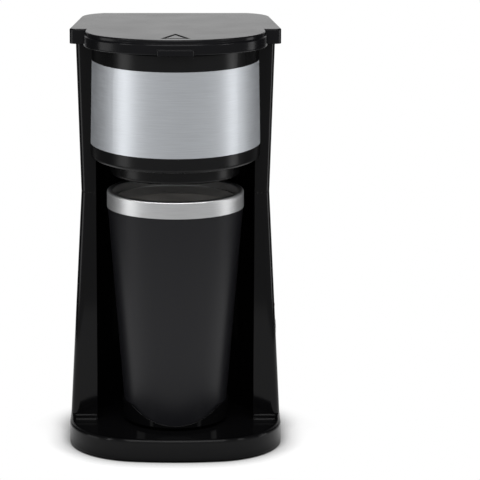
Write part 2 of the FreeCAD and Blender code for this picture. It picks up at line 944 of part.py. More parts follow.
def lid_hollow():
    """Plan of the space under the lid, ending at the hinge beam and open round the spout's hub."""
    inset = size.lid_skirt
    whole = lid_corners(inset)
    nose_and_right_ear = whole[:7]
    left_ear = whole[-3:]
    beam_ahead = hinge_behind - size.hinge_beam
    side = lid_rear_half - inset
    side_behind = tower_rear - size.rear_corner - size.rear_bulge
    beam_end = lid_rear_half - size.rear_corner
    gap_back = hinge_behind + size.hinge_radius - inset
    rear = [
        Corner(side, side_behind),
        Corner(beam_end, beam_ahead),
        Corner(size.hub_notch, beam_ahead),
        Corner(size.hub_notch, gap_back),
        Corner(-size.hub_notch, gap_back),
        Corner(-size.hub_notch, beam_ahead),
        Corner(-beam_end, beam_ahead),
        Corner(-side, side_behind),
    ]
    return nose_and_right_ear + rear + left_ear


def tab_corners():
    """Plan of the finger tab under the lid's front edge."""
    half = size.tab_half_width
    reach = lid_front + size.lid_setback
    back = size.tab_root - lid_front
    edge = size.tab_round
    return [
        Corner(-half, back),
        Corner(-half, edge - reach, edge),
        Corner(edge - half, -reach),
        Corner(half - edge, -reach, edge),
        Corner(half, edge - reach),
        Corner(half, back),
    ]


def lid_shell():
    """Lid: stepped nose, hollow underside, finger tab in front, hinge beam at the rear."""
    body = new_body("lid_shell")
    hollow_height = size.lid_height - size.lid_top
    shoulder_level = lid_level + hollow_height
    pad(body, draw(plan_sketch(body, lid_level), lid_corners()), hollow_height)
    ahead_of_hinge = (hinge_behind - size.hinge_radius).value
    nose_behind = -(size.lid_ear_ahead + size.fit_gap).value

    def shoulder_edge(edge):
        return lies_at(edge, shoulder_level) and edge.BoundBox.YMin < nose_behind

    def lower_nose_edge(edge):
        return lies_at(edge, lid_level) and edge.BoundBox.YMin < nose_behind

    def top_edge(edge):
        return lies_at(edge, top_level) and edge.BoundBox.YMax < ahead_of_hinge

    round_edges(body, size.lid_shoulder_round, shoulder_edge)
    round_edges(body, size.lid_lower_round, lower_nose_edge)
    panel = draw(plan_sketch(body, shoulder_level), lid_corners(step=size.lid_step))
    pad(body, panel, size.lid_top)
    round_edges(body, size.lid_edge_round, top_edge)
    pad(body, draw(plan_sketch(body, lid_level), tab_corners()), size.tab_height)
    cut(body, draw(plan_sketch(body, lid_level), lid_hollow()), hollow_height, ahead=True)
    drop = hinge_level - lid_level
    foot_behind = hinge_behind + root(size.hinge_radius * size.hinge_radius - drop * drop)
    far_behind = hinge_behind + size.hinge_radius * 2
    rear = [
        Corner(hinge_behind, top_level, size.hinge_radius, True),
        Corner(hinge_behind + size.hinge_radius, hinge_level, size.hinge_radius, True),
        Corner(foot_behind, lid_level),
        Corner(far_behind, lid_level),
        Corner(far_behind, top_level),
    ]
    cut(body, draw(side_sketch(body, lid_ear_half), rear), lid_ear_half * 2)
    clear = size.lug_radius + size.fit_gap
    cover = size.lug_cover
    cover_height = root(clear * clear - cover * cover)
    notch = [
        Corner(hinge_behind - clear, lid_level),
        Corner(far_behind, lid_level),
        Corner(far_behind, top_level),
        Corner(hinge_behind + cover, top_level),
        Corner(hinge_behind + cover, hinge_level + cover_height, clear),
        Corner(hinge_behind, hinge_level + clear, clear),
        Corner(hinge_behind - clear, hinge_level),
    ]
    lug_outer = size.lug_inner + size.lug_width
    for side in (lug_outer + size.fit_gap, size.fit_gap - size.lug_inner):
        cut(body, draw(side_sketch(body, side), notch), size.lug_width + size.fit_gap * 2)
    way_out = box_corners(-size.hub_notch, size.hub_notch, hinge_behind, far_behind)
    cut(body, draw(plan_sketch(body, lid_level), way_out), drop + size.fit_gap * 2, ahead=True)
    bore = side_sketch(body, size.lug_inner)
    circle(bore, hinge_behind, hinge_level, size.pin_radius + size.pin_play)
    cut(body, bore, size.lug_inner * 2)
    return body


def lid_liner():
    """Thin steam shield under the lid's top."""
    body = new_body("lid_liner")
    level = lid_level + size.lid_height - size.lid_top - size.liner_sheet
    inset = size.lid_skirt + size.fit_gap
    nose = front_corners(lid_half - inset, lid_front - inset, size.lid_corner - inset, size.lid_bulge)
    beam_ahead = hinge_behind - size.hinge_beam - size.fit_gap
    half = lid_rear_half - size.rear_corner
    rear = [
        Corner(lid_half - inset, 0),
        Corner(half, beam_ahead),
        Corner(-half, beam_ahead),
        Corner(inset - lid_half, 0),
    ]
    pad(body, draw(plan_sketch(body, level), nose + rear), size.liner_sheet)
    return body


def hinge_pins():
    """Two steel pins, each through one of the tower's lugs and into the lid's beam."""
    body = new_body("hinge_pins")
    length = size.lug_inner + size.lug_width - size.pin_inner
    for side in (size.pin_inner, -size.lug_inner - size.lug_width):
        pad(body, circle(side_sketch(body, side), hinge_behind, hinge_level, size.pin_radius), length)
    return body


def c_corners(inset):
    """Plan of the tank: a C round the back of the mug bay, inside the tower walls."""
    half = waist_half - size.wall - size.tank_gap - inset
    reach = tower_rear - size.wall - size.tank_gap - inset
    corner = size.rear_corner - size.wall - size.tank_gap - inset
    arm = size.tank_arm_behind + inset
    back = bay_back + size.tank_gap + inset
    arm_x = root(back * back - arm * arm)
    outer = [Corner(half, arm)] + rear_corners(half, reach, corner, size.rear_bulge)
    inner = [
        Corner(-half, arm),
        Corner(-arm_x, arm, back, True),
        Corner(0, back, back, True),
        Corner(arm_x, arm),
    ]
    return outer + inner


def water_tank():
    """Open-topped tank behind the head, with a spout for the hose and a hole for the riser."""
    body = new_body("water_tank")
    outside = draw(plan_sketch(body, size.tank_floor_level), c_corners(dim(0)))
    pad(body, outside, tank_top - size.tank_floor_level)
    inside = draw(plan_sketch(body, tank_top), c_corners(size.tank_wall))
    cut(body, inside, tank_top - size.tank_floor_level - size.tank_wall)
    spigot = circle(plan_sketch(body, size.tank_floor_level), -hose_x, pipe_behind, size.tube_radius)
    pad(body, spigot, size.boiler_stub, back=True)
    mouth = plan_sketch(body, size.tank_floor_level + size.tank_wall)
    circle(mouth, -hose_x, pipe_behind, size.tube_radius - size.tube_wall)
    cut(body, mouth, size.boiler_stub + size.tank_wall)
    seat = circle(plan_sketch(body, size.tank_floor_level + size.tank_wall), 0, pipe_behind, seal_radius)
    cut(body, seat, size.tank_wall)
    return body


def ring_piece(label, x, y, level, height, inner, outer):
    """Plain upright ring."""
    body = new_body(label)
    section = plan_sketch(body, level)
    circle(section, x, y, outer)
    circle(section, x, y, inner)
    pad(body, section, height)
    return body


def tank_strainer():
    """Perforated cap over the tank's outlet."""
    body = new_body("tank_strainer")
    level = size.tank_floor_level + size.tank_wall
    cap = circle(plan_sketch(body, level), -hose_x, pipe_behind, size.strainer_radius)
    pad(body, cap, size.strainer_height)
    hollow = circle(
        plan_sketch(body, level), -hose_x, pipe_behind, size.strainer_radius - size.tank_wall
    )
    cut(body, hollow, size.strainer_height - size.tank_wall, ahead=True)
    for turn in range(6):
        angle = math.radians(60 * turn)
        hole = plan_sketch(body, level + size.strainer_height)
        reach = size.strainer_radius / 2
        circle(
            hole,
            reach * math.cos(angle) - hose_x,
            reach * math.sin(angle) + pipe_behind,
            size.shower_hole_radius,
        )
        cut(body, hole, size.tank_wall)
    return body


def riser_tube():
    """Straight hot water pipe, up through the tank to the spout."""
    height = tower_level - riser_level
    inner = size.tube_radius - size.tube_wall
    return ring_piece("riser_tube", 0, pipe_behind, riser_level, height, inner, size.tube_radius)


def riser_seal():
    """Rubber ring between the riser and the tank's floor."""
    return ring_piece(
        "riser_seal",
        0,
        pipe_behind,
        size.tank_floor_level,
        size.tank_wall,
        size.tube_radius,
        seal_radius,
    )


arm_level = tower_level + size.arm_gap
arm_top = arm_level + size.arm_height


def arm_outline(body, level, inset):
    """Plan of the spout: a straight bar from its hub to a round tip over the filter."""
    half = size.arm_width / 2 - inset
    hub = size.hub_radius - inset
    tip = size.arm_tip_radius - inset
    hub_ahead = pipe_behind - root(hub * hub - half * half)
    tip_behind = root(tip * tip - half * half)
    corners = [
        Corner(half, tip_behind),
        Corner(half, hub_ahead, hub),
        Corner(hub, pipe_behind, hub),
        Corner(0, pipe_behind + hub, hub),
        Corner(-hub, pipe_behind, hub),
        Corner(-half, hub_ahead),
        Corner(-half, tip_behind, tip),
        Corner(-tip, 0, tip),
        Corner(0, -tip, tip),
        Corner(tip, 0, tip),
    ]
    return draw(plan_sketch(body, level), corners)


def spout_arm():
    """Swing spout: a hollow arm that turns on the riser's end."""
    body = new_body("spout_arm")
    pad(body, arm_outline(body, arm_level, dim(0)), size.arm_height)
    channel = arm_outline(body, arm_level, size.arm_wall)
    cut(body, channel, size.arm_height - size.arm_wall, ahead=True)
    hub_level = arm_level - size.hub_depth
    hub = circle(plan_sketch(body, hub_level), 0, pipe_behind, size.hub_radius)
    pad(body, hub, size.hub_depth + size.arm_height - size.arm_wall)
    bore = plan_sketch(body, hub_level)
    circle(bore, 0, pipe_behind, size.tube_radius + size.pin_play)
    cut(body, bore, size.hub_depth + size.arm_height - size.arm_wall, ahead=True)
    return body


def shower_plate():
    """Plate that closes the spout's channel, with outlet holes at its tip."""
    body = new_body("shower_plate")
    inset = size.arm_wall + size.skin_gap
    half = size.arm_width / 2 - inset
    tip = size.arm_tip_radius - inset
    hub_ahead = pipe_behind - size.hub_radius - size.skin_gap
    tip_behind = root(tip * tip - half * half)
    corners = [
        Corner(half, tip_behind),
        Corner(half, hub_ahead),
        Corner(-half, hub_ahead),
        Corner(-half, tip_behind, tip),
        Corner(-tip, 0, tip),
        Corner(0, -tip, tip),
        Corner(tip, 0, tip),
    ]
    pad(body, draw(plan_sketch(body, arm_level), corners), size.arm_wall)
    holes = plan_sketch(body, arm_level)
    circle(holes, 0, 0, size.shower_hole_radius)
    for turn in range(6):
        angle = math.radians(60 * turn)
        circle(
            holes,
            size.shower_circle * math.cos(angle),
            size.shower_circle * math.sin(angle),
            size.shower_hole_radius,
        )
    cut(body, holes, size.arm_wall, ahead=True)
    return body


# Boiler: a U of cast aluminium, standing behind the mug bay
boiler_low = rim_level + size.boiler_clear + size.boiler_across / 2
boiler_turn = boiler_low + boiler_bend
boiler_top = boiler_turn + size.boiler_leg


def u_path(body, inset, top):
    """Upright U, inset from the boiler's middle line, from its left end to its right end."""
    bend = boiler_bend - inset
    path = front_sketch(body, -pipe_behind)
    corners = [
        Corner(-bend, top),
        Corner(-bend, boiler_turn, bend),
        Corner(0, boiler_turn - bend, bend),
        Corner(bend, boiler_turn),
        Corner(bend, top),
    ]
    return draw(path, corners, closed=False)


def u_tube(label, inset, top, radius, bore):
    """Round tube or rod bent to the U."""
    body = new_body(label)
    section = circle(plan_sketch(body, top), inset - boiler_bend, pipe_behind, radius)
    if bore is not None:
        circle(section, inset - boiler_bend, pipe_behind, bore)
    sweep(body, section, u_path(body, inset, top))
    return body


def boiler_block():
    """Cast block, with a passage for the water tube and one for the heating rod."""
    body = new_body("boiler_block")
    across = size.boiler_across / 2
    deep = size.boiler_depth / 2
    edge = deep / 2
    left = -boiler_bend
    section = plan_sketch(body, boiler_top)
    near_side = pipe_behind - deep
    far_side = pipe_behind + deep
    corners = [
        Corner(left - across + edge, near_side),
        Corner(left + across - edge, near_side, edge),
        Corner(left + across, near_side + edge),
        Corner(left + across, far_side - edge, edge),
        Corner(left + across - edge, far_side),
        Corner(left - across + edge, far_side, edge),
        Corner(left - across, far_side - edge),
        Corner(left - across, near_side + edge, edge),
    ]
    draw(section, corners)
    circle(section, left - size.tube_offset, pipe_behind, size.tube_radius + size.skin_gap)
    circle(section, left + size.rod_offset, pipe_behind, size.rod_radius + size.skin_gap)
    sweep(body, section, u_path(body, dim(0), boiler_top))
    return body


def water_tube():
    """Steel tube that carries the water round the boiler."""
    top = boiler_top + size.boiler_stub
    bore = size.tube_radius - size.tube_wall
    return u_tube("water_tube", -size.tube_offset, top, size.tube_radius, bore)


def heating_rod():
    """Sheathed heating rod beside the water tube, with its two ends left clear for the leads."""
    top = boiler_top + size.terminal_length
    return u_tube("heating_rod", size.rod_offset, top, size.rod_radius, None)


def boiler_bracket():
    """Sheet strap that holds the boiler's legs to the rear wall."""
    body = new_body("boiler_bracket")
    half = boiler_bend + size.boiler_across / 2
    face = pipe_behind + size.boiler_depth / 2 + size.skin_gap
    strap = box_corners(-half, half, face, face + size.bracket_sheet)
    pad(body, draw(plan_sketch(body, boiler_turn), strap), size.bracket_height)
    return body


def thermostat():
    """Round thermostat on the front of the boiler's right leg."""
    body = new_body("thermostat")
    ahead = size.boiler_depth / 2 - pipe_behind + size.skin_gap
    level = boiler_turn + size.boiler_leg / 2
    pad(body, circle(front_sketch(body, ahead), boiler_bend, level, size.stat_radius), size.stat_height)
    cap = circle(front_sketch(body, ahead + size.stat_height), boiler_bend, level, size.stat_radius / 2)
    pad(body, cap, size.bracket_sheet)
    return body


def thermal_fuse():
    """Small thermal cut-out lying on the front of the boiler's left leg."""
    body = new_body("thermal_fuse")
    ahead = size.boiler_depth / 2 - pipe_behind + size.skin_gap + size.fuse_radius
    lying = circle(plan_sketch(body, boiler_turn), -boiler_bend, -ahead, size.fuse_radius)
    pad(body, lying, size.fuse_length)
    return body


def hose_section(body, x, level):
    """Ring section of a hose."""
    section = plan_sketch(body, level)
    circle(section, x, pipe_behind, hose_radius)
    circle(section, x, pipe_behind, hose_bore)
    return section


def cold_hose():
    """Straight hose from the tank's spigot down to the boiler's left stub."""
    body = new_body("cold_hose")
    low = boiler_top + size.skin_gap
    high = size.tank_floor_level - size.skin_gap
    pad(body, hose_section(body, -hose_x, low), high - low)
    return body


def hot_hose():
    """Hose from the boiler's right stub across to the riser, in two bends."""
    body = new_body("hot_hose")
    low = boiler_top + size.skin_gap
    high = size.tank_floor_level - size.skin_gap
    bend = size.hose_bend
    upper_bend = riser_level
    lower_bend = riser_level - bend * 2
    corners = [
        Corner(hose_x, low),
        Corner(hose_x, lower_bend, bend),
        Corner(hose_x - bend, lower_bend + bend),
        Corner(bend, lower_bend + bend, bend, True),
        Corner(0, upper_bend),
        Corner(0, high),
    ]
    path = draw(front_sketch(body, -pipe_behind), corners, closed=False)
    sweep(body, hose_section(body, hose_x, low), path)
    return body


def hose_clips():
    """Four band clips, one on each end of the two hoses."""
    body = new_body("hose_clips")
    low = boiler_top + size.clip_width
    high = size.tank_floor_level - size.clip_width * 2
    for x, level in ((-hose_x, low), (hose_x, low), (-hose_x, high), (0, high)):
        section = plan_sketch(body, level)
        circle(section, x, pipe_behind, hose_radius + size.clip_sheet)
        circle(section, x, pipe_behind, hose_radius)
        pad(body, section, size.clip_width)
    return body


def mug_radius(level):
    """Outside radius of the mug's wall at a level."""
    return mug_foot_radius + mug_slope * (level - mug_level)


def cup_corners(low, high, inset):
    """Half section of a sheet cup that follows the mug's wall."""
    sheet = size.mug_sheet
    return [
        Corner(0, low),
        Corner(mug_radius(low) - inset, low),
        Corner(mug_radius(high) - inset, high),
        Corner(mug_radius(high) - inset - sheet, high),
        Corner(mug_radius(low + sheet) - inset - sheet, low + sheet),
        Corner(0, low + sheet),
    ]


def mug_body():
    """Tapered outer cup of the mug."""
    body = new_body("mug_body")
    low = mug_level + size.boot_floor + size.skin_gap
    high = mug_band_level - size.skin_gap
    revolve(body, draw(front_sketch(body), cup_corners(low, high, dim(0))))
    return body


def mug_liner():
    """Steel inner cup, an air gap away from the outer one."""
    body = new_body("mug_liner")
    low = mug_level + size.boot_floor + size.mug_sheet + size.mug_air_gap
    high = mug_band_level - size.skin_gap
    revolve(body, draw(front_sketch(body), cup_corners(low, high, size.mug_sheet + size.mug_air_gap)))
    return body


def mug_band():
    """Steel rim of the mug: rounded lip, and a ledge inside it for a travel lid."""
    body = new_body("mug_band")
    rim = size.mug_rim_radius
    lip = rim - size.mug_lip_width
    ledge = lip - size.mug_ledge_width
    edge = size.mug_lip_round
    ledge_level = mug_top - size.mug_ledge_drop
    profile = [
        Corner(ledge, mug_band_level),
        Corner(rim, mug_band_level),
        Corner(rim, mug_top - edge, edge),
        Corner(rim - edge, mug_top),
        Corner(lip + edge, mug_top, edge),
        Corner(lip, mug_top - edge),
        Corner(lip, ledge_level),
        Corner(ledge, ledge_level),
    ]
    revolve(body, draw(front_sketch(body), profile))
    return body


def mug_boot():
    """Foot of the mug, with its upper edge scooped away front and rear."""
    body = new_body("mug_boot")
    top = mug_level + size.boot_height
    floor = mug_level + size.boot_floor
    outside = size.boot_wall + size.skin_gap
    bevel = size.boot_bevel
    profile = [
        Corner(0, mug_level),
        Corner(mug_foot_radius + outside - bevel, mug_level),
        Corner(mug_radius(mug_level + bevel) + outside, mug_level + bevel),
        Corner(mug_radius(top) + outside, top),
        Corner(mug_radius(top) + size.skin_gap, top),
        Corner(mug_radius(floor) + size.skin_gap, floor),
        Corner(0, floor),
    ]
    revolve(body, draw(front_sketch(body), profile))
    reach = size.mug_rim_radius
    scoop = front_sketch(body, reach)
    circle(scoop, 0, mug_level + size.boot_scoop_low + size.boot_scoop_radius, size.boot_scoop_radius)
    cut(body, scoop, reach * 2)
    return body


def switch_housing():
    """Box behind the side wall that guides the power button; its spring and contacts are inside."""
    body = new_body("switch_housing")
    half = size.button_radius + size.button_play + size.switch_wall
    face = half_at(size.button_level + half) - size.wall - size.fit_gap
    block = box_corners(
        size.button_behind - half,
        size.button_behind + half,
        size.button_level - half,
        size.button_level + half,
    )
    pad(body, draw(side_sketch(body, face), block), size.switch_depth, back=True)
    bore = side_sketch(body, face)
    circle(bore, size.button_behind, size.button_level, size.button_radius + size.button_play)
    cut(body, bore, size.switch_depth - size.switch_wall)
    return body


def power_button():
    """Round push button in the right side."""
    body = new_body("power_button")
    face = half_at(size.button_level) + size.button_proud
    disc = circle(side_sketch(body, face), size.button_behind, size.button_level, size.button_radius)
    pad(body, disc, size.button_length, back=True)
    round_edges(body, size.button_proud * 0.9, lambda edge: near(edge.BoundBox.XMin, face))
    return body


def indicator_lens():
    """Small clear lens over the button."""
    body = new_body("indicator_lens")
    level = size.button_level + size.lens_above
    face = half_at(level) + size.button_proud / 2
    disc = circle(side_sketch(body, face), size.button_behind, level, size.lens_radius)
    pad(body, disc, size.lens_length, back=True)
    return body


def lead_gland():
    """Empty bush in the rear wall where the mains lead would enter."""
    body = new_body("lead_gland")
    flange_radius = size.gland_radius + size.gland_flange
    wall_behind = tower_rear - size.gland_setback
    x = size.gland_side
    level = size.gland_level
    flange = circle(front_sketch(body, -wall_behind), x, level, flange_radius)
    pad(body, flange, size.gland_thickness, back=True)
    sleeve = circle(front_sketch(body, -wall_behind), x, level, size.gland_radius - size.skin_gap)
    pad(body, sleeve, size.gland_length)
    bore = circle(front_sketch(body, -wall_behind - size.gland_thickness), x, level, size.gland_bore)
    cut(body, bore, size.gland_length + size.gland_thickness, ahead=True)
    return body


def build_all():
    """Every piece of the machine, in the order it would be put together."""
    tower_screw_level = ceiling_level - size.screw_head_height
    cover_screw_length = tower_screw_level - cover_level
    pieces = [
        base_housing(),
        bottom_cover(),
        rubber_feet(),
        screws("cover_screws", cover_screw_places, cover_level, cover_screw_length),
        lower_body(),
        screws("tower_screws", tower_screw_places, tower_screw_level, size.screw_grip),
        upper_body(),
        head_shell(),
        steel_band(),
        head_floor(),
        filter_holder(),
        filter_frame(),
        filter_mesh(),
        lid_shell(),
        lid_liner(),
        hinge_pins(),
        water_tank(),
        tank_strainer(),
        riser_tube(),
        riser_seal(),
        spout_arm(),
        shower_plate(),
        boiler_block(),
        water_tube(),
        heating_rod(),
        boiler_bracket(),
        thermostat(),
        thermal_fuse(),
        cold_hose(),
        hot_hose(),
        hose_clips(),
        mug_body(),
        mug_liner(),
        mug_band(),
        mug_boot(),
        switch_housing(),
        power_button(),
        indicator_lens(),
        lead_gland(),
    ]
    return pieces


def check(pieces):
    """Stop if any object of the document failed or a piece has no sound solid."""
    doc.recompute()
    failed = [item.Name for item in doc.Objects if {"Invalid", "Error"} & set(item.State)]
    if failed:
        raise RuntimeError(f"failed: {failed}")
    for body in pieces:
        if body.Shape.isNull() or not body.Shape.isValid() or not body.Shape.Solids:
            raise RuntimeError(f"{body.Label} has no sound solid")


def write(pieces):
    """Write each piece to its own file."""
    os.makedirs("parts", exist_ok=True)
    for body in pieces:
        body.Shape.exportStep(f"parts/{body.Label}.step")


pieces = build_all()
check(pieces)
write(pieces)
for body in pieces:
    print(body.Label, len(body.Shape.Solids), round(body.Shape.Volume), body.Shape.BoundBox)
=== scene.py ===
import logging
import math
from dataclasses import dataclass
from enum import Enum
from typing import Any, Callable, Mapping, Optional

import bpy
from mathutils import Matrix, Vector


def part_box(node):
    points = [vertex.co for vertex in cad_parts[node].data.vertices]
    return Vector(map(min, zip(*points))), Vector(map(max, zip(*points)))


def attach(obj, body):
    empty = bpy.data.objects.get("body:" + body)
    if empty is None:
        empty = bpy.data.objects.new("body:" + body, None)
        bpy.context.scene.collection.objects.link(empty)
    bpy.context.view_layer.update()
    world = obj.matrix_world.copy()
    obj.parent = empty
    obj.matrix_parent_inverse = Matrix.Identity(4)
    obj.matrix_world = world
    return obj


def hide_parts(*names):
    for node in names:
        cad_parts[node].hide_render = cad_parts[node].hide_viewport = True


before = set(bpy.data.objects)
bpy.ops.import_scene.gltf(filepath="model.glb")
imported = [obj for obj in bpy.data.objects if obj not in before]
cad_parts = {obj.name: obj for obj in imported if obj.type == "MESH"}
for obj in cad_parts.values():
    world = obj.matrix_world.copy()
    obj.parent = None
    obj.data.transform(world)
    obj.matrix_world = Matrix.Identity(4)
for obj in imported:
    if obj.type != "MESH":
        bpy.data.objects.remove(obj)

log = logging.getLogger("coffee_maker")

Triple = tuple[float, float, float]

# Lengths are in metres, apart from names that end in _mm or _px
MM: float = 0.001
# The upright line through mug and filter, along Y
BREW_AXIS_Y: float = -0.005
# Points of a mesh that are nearer to each other than this are one point
MERGE_REACH: float = 0.000001
# Faces that meet at less than this are shaded as one curved surface
SMOOTH_ANGLE: float = math.radians(40)
# Faces that meet at less than this lie in one plane
FLAT_ANGLE: float = math.radians(0.5)
# A face whose normal reaches this far along an axis faces that way, roughly or squarely
FACING: float = 0.9
FACING_SQUARELY: float = 0.99
# Layers of finer grain in each noise
GRAIN_DETAIL: float = 3.0
# The Mix node's sockets for two colours share their names with others, so they go by number
MIX_SHARE: int = 0
MIX_FIRST: int = 6
MIX_SECOND: int = 7
MIX_RESULT: int = 2
# A wave texture of scale 1 has a band every 0.314 units
WAVE_BAND: float = 2 * math.pi / 20


def linear(colour: str) -> tuple[float, float, float, float]:
    """Turn an sRGB hex colour into linear values.

    Args:
        colour: Hex colour such as "#1b1b1d".

    Returns:
        Red, green, blue and a full alpha.
    """
    parts = [int(colour[start : start + 2], 16) / 255 for start in (1, 3, 5)]
    # The sRGB curve is a straight line near black and a power above it
    red, green, blue = (
        part / 12.92 if part <= 0.04045 else ((part + 0.055) / 1.055) ** 2.4 for part in parts
    )
    return red, green, blue, 1.0


def add_node(
    tree: bpy.types.NodeTree,
    kind: str,
    settings: Optional[Mapping[str, Any]] = None,
    inputs: Optional[Mapping[Any, Any]] = None,
) -> bpy.types.Node:
    """Add a shader node with its settings, values and links.

    Args:
        tree: Node tree that gets the node.
        kind: Blender's name for the kind of node.
        settings: Properties of the node.
        inputs: Value, or the output to link, for each input socket.

    Returns:
        The new node.
    """
    node = tree.nodes.new(kind)
    for name, value in (settings or {}).items():
        setattr(node, name, value)
    for key, value in (inputs or {}).items():
        if isinstance(value, bpy.types.NodeSocket):
            tree.links.new(value, node.inputs[key])
        else:
            node.inputs[key].default_value = value
    return node


@dataclass(frozen=True)
class Finish:
    """A surface finish that gives one material."""

    name: str
    colour: str
    roughness: float
    metallic: float = 0.0

    def material(self) -> bpy.types.Material:
        """Make the material, or find it if it was made before.

        Returns:
            The material.
        """
        made = bpy.data.materials.get(self.name)
        if made is not None:
            return made
        made = bpy.data.materials.new(self.name)
        made.use_nodes = True
        shader = made.node_tree.nodes["Principled BSDF"]
        shader.inputs["Base Color"].default_value = linear(self.colour)
        shader.inputs["Roughness"].default_value = self.roughness
        shader.inputs["Metallic"].default_value = self.metallic
        self.dress(made.node_tree, shader)
        return made

    def dress(self, tree: bpy.types.NodeTree, shader: bpy.types.Node) -> None:
        """Add what the kind of finish shows besides its colour and gloss."""

    def grain(
        self, tree: bpy.types.NodeTree, size_mm: float, narrowing: Triple = (1.0, 1.0, 1.0)
    ) -> bpy.types.NodeSocket:
        """Add noise on object coordinates.

        Args:
            tree: Node tree that gets the noise.
            size_mm: Size of one grain.
            narrowing: How many times a grain is narrowed along X, Y and Z.

        Returns:
            The noise's value, from 0 to 1.
        """
        place = add_node(tree, "ShaderNodeTexCoord")
        narrowed = add_node(
            tree,
            "ShaderNodeMapping",
            inputs={"Vector": place.outputs["Object"], "Scale": narrowing},
        )
        noise = add_node(
            tree,
            "ShaderNodeTexNoise",
            inputs={
                "Vector": narrowed.outputs["Vector"],
                "Scale": 1 / (size_mm * MM),
                "Detail": GRAIN_DETAIL,
            },
        )
        return noise.outputs[0]


@dataclass(frozen=True)
class MouldedGloss(Finish):
    """Plastic from a polished mould: soft edges, clear reflections, faint waves from shrinkage."""

    edge_mm: float = 0.6
    edge_samples: int = 6
    specular: float = 0.14
    # Walls of 2.4 mm shrink in waves about four times as long
    wave_mm: float = 9.0
    wave_depth_mm: float = 0.4
    wave_strength: float = 0.02
    # Polishing by hand leaves duller and shinier patches about as wide as a thumb
    haze_mm: float = 22.0
    haze: tuple[float, float] = (0.85, 1.2)

    def dress(self, tree: bpy.types.NodeTree, shader: bpy.types.Node) -> None:
        """Round the edges to the eye and let surface and gloss waver slightly.

        Args:
            tree: Node tree of the material.
            shader: Its surface shader.
        """
        shader.inputs["Specular IOR Level"].default_value = self.specular
        edge = add_node(
            tree, "ShaderNodeBevel", {"samples": self.edge_samples}, {"Radius": self.edge_mm * MM}
        )
        bump = add_node(
            tree,
            "ShaderNodeBump",
            inputs={
                "Strength": self.wave_strength,
                "Distance": self.wave_depth_mm * MM,
                "Height": self.grain(tree, self.wave_mm),
                "Normal": edge.outputs["Normal"],
            },
        )
        tree.links.new(bump.outputs["Normal"], shader.inputs["Normal"])
        gloss = add_node(
            tree,
            "ShaderNodeMapRange",
            inputs={
                "Value": self.grain(tree, self.haze_mm),
                "To Min": self.roughness * self.haze[0],
                "To Max": self.roughness * self.haze[1],
            },
        )
        tree.links.new(gloss.outputs["Result"], shader.inputs["Roughness"])


@dataclass(frozen=True)
class MouldedMatte(Finish):
    """Plastic or rubber from a spark-eroded mould: fine even grain with a dull sheen."""

    edge_mm: float = 0.4
    edge_samples: int = 4
    # Real eroded grain is about 0.1 mm wide, drawn five times as coarse so that it shows
    grain_mm: float = 0.5
    grain_depth_mm: float = 0.1
    grain_strength: float = 0.25

    def dress(self, tree: bpy.types.NodeTree, shader: bpy.types.Node) -> None:
        """Round the edges to the eye and add the eroded grain.

        Args:
            tree: Node tree of the material.
            shader: Its surface shader.
        """
        edge = add_node(
            tree, "ShaderNodeBevel", {"samples": self.edge_samples}, {"Radius": self.edge_mm * MM}
        )
        bump = add_node(
            tree,
            "ShaderNodeBump",
            inputs={
                "Strength": self.grain_strength,
                "Distance": self.grain_depth_mm * MM,
                "Height": self.grain(tree, self.grain_mm),
                "Normal": edge.outputs["Normal"],
            },
        )
        tree.links.new(bump.outputs["Normal"], shader.inputs["Normal"])


class Brushing(Enum):
    """Way that brush lines run: how many times a grain is narrowed along X, Y and Z."""

    AROUND = (1.0, 1.0, 60.0)
    UPRIGHT = (60.0, 60.0, 1.0)


@dataclass(frozen=True)
class BrushedSteel(Finish):
    """Steel with fine lines from brush, lathe or die, which draw highlights out across them."""

    brushing: Brushing = Brushing.AROUND
    # A line is about 14 mm long. Real lines lie about 0.05 mm apart. These lie a sixtieth of their
    # length apart, 0.23 mm, so that they show
    line_mm: float = 14.0
    line_depth_mm: float = 0.1
    line_strength: float = 0.06
    line_shade: float = 0.72
    line_gloss: tuple[float, float] = (0.7, 1.35)
    anisotropy: float = 0.7

    def dress(self, tree: bpy.types.NodeTree, shader: bpy.types.Node) -> None:
        """Add the brush lines to gloss, colour and relief.

        Args:
            tree: Node tree of the material.
            shader: Its surface shader.
        """
        lines = self.grain(tree, self.line_mm, self.brushing.value)
        tangent = add_node(tree, "ShaderNodeTangent", {"direction_type": "RADIAL", "axis": "Z"})
        tree.links.new(tangent.outputs["Tangent"], shader.inputs["Tangent"])
        shader.inputs["Anisotropic"].default_value = self.anisotropy
        gloss = add_node(
            tree,
            "ShaderNodeMapRange",
            inputs={
                "Value": lines,
                "To Min": self.roughness * self.line_gloss[0],
                "To Max": self.roughness * self.line_gloss[1],
            },
        )
        tree.links.new(gloss.outputs["Result"], shader.inputs["Roughness"])
        bright = linear(self.colour)
        dull = tuple(part * self.line_shade for part in bright[:3])
        tint = add_node(
            tree,
            "ShaderNodeMix",
            {"data_type": "RGBA"},
            {MIX_SHARE: lines, MIX_FIRST: (*dull, 1.0), MIX_SECOND: bright},
        )
        tree.links.new(tint.outputs[MIX_RESULT], shader.inputs["Base Color"])
        bump = add_node(
            tree,
            "ShaderNodeBump",
            inputs={
                "Strength": self.line_strength,
                "Distance": self.line_depth_mm * MM,
                "Height": lines,
            },
        )
        tree.links.new(bump.outputs["Normal"], shader.inputs["Normal"])


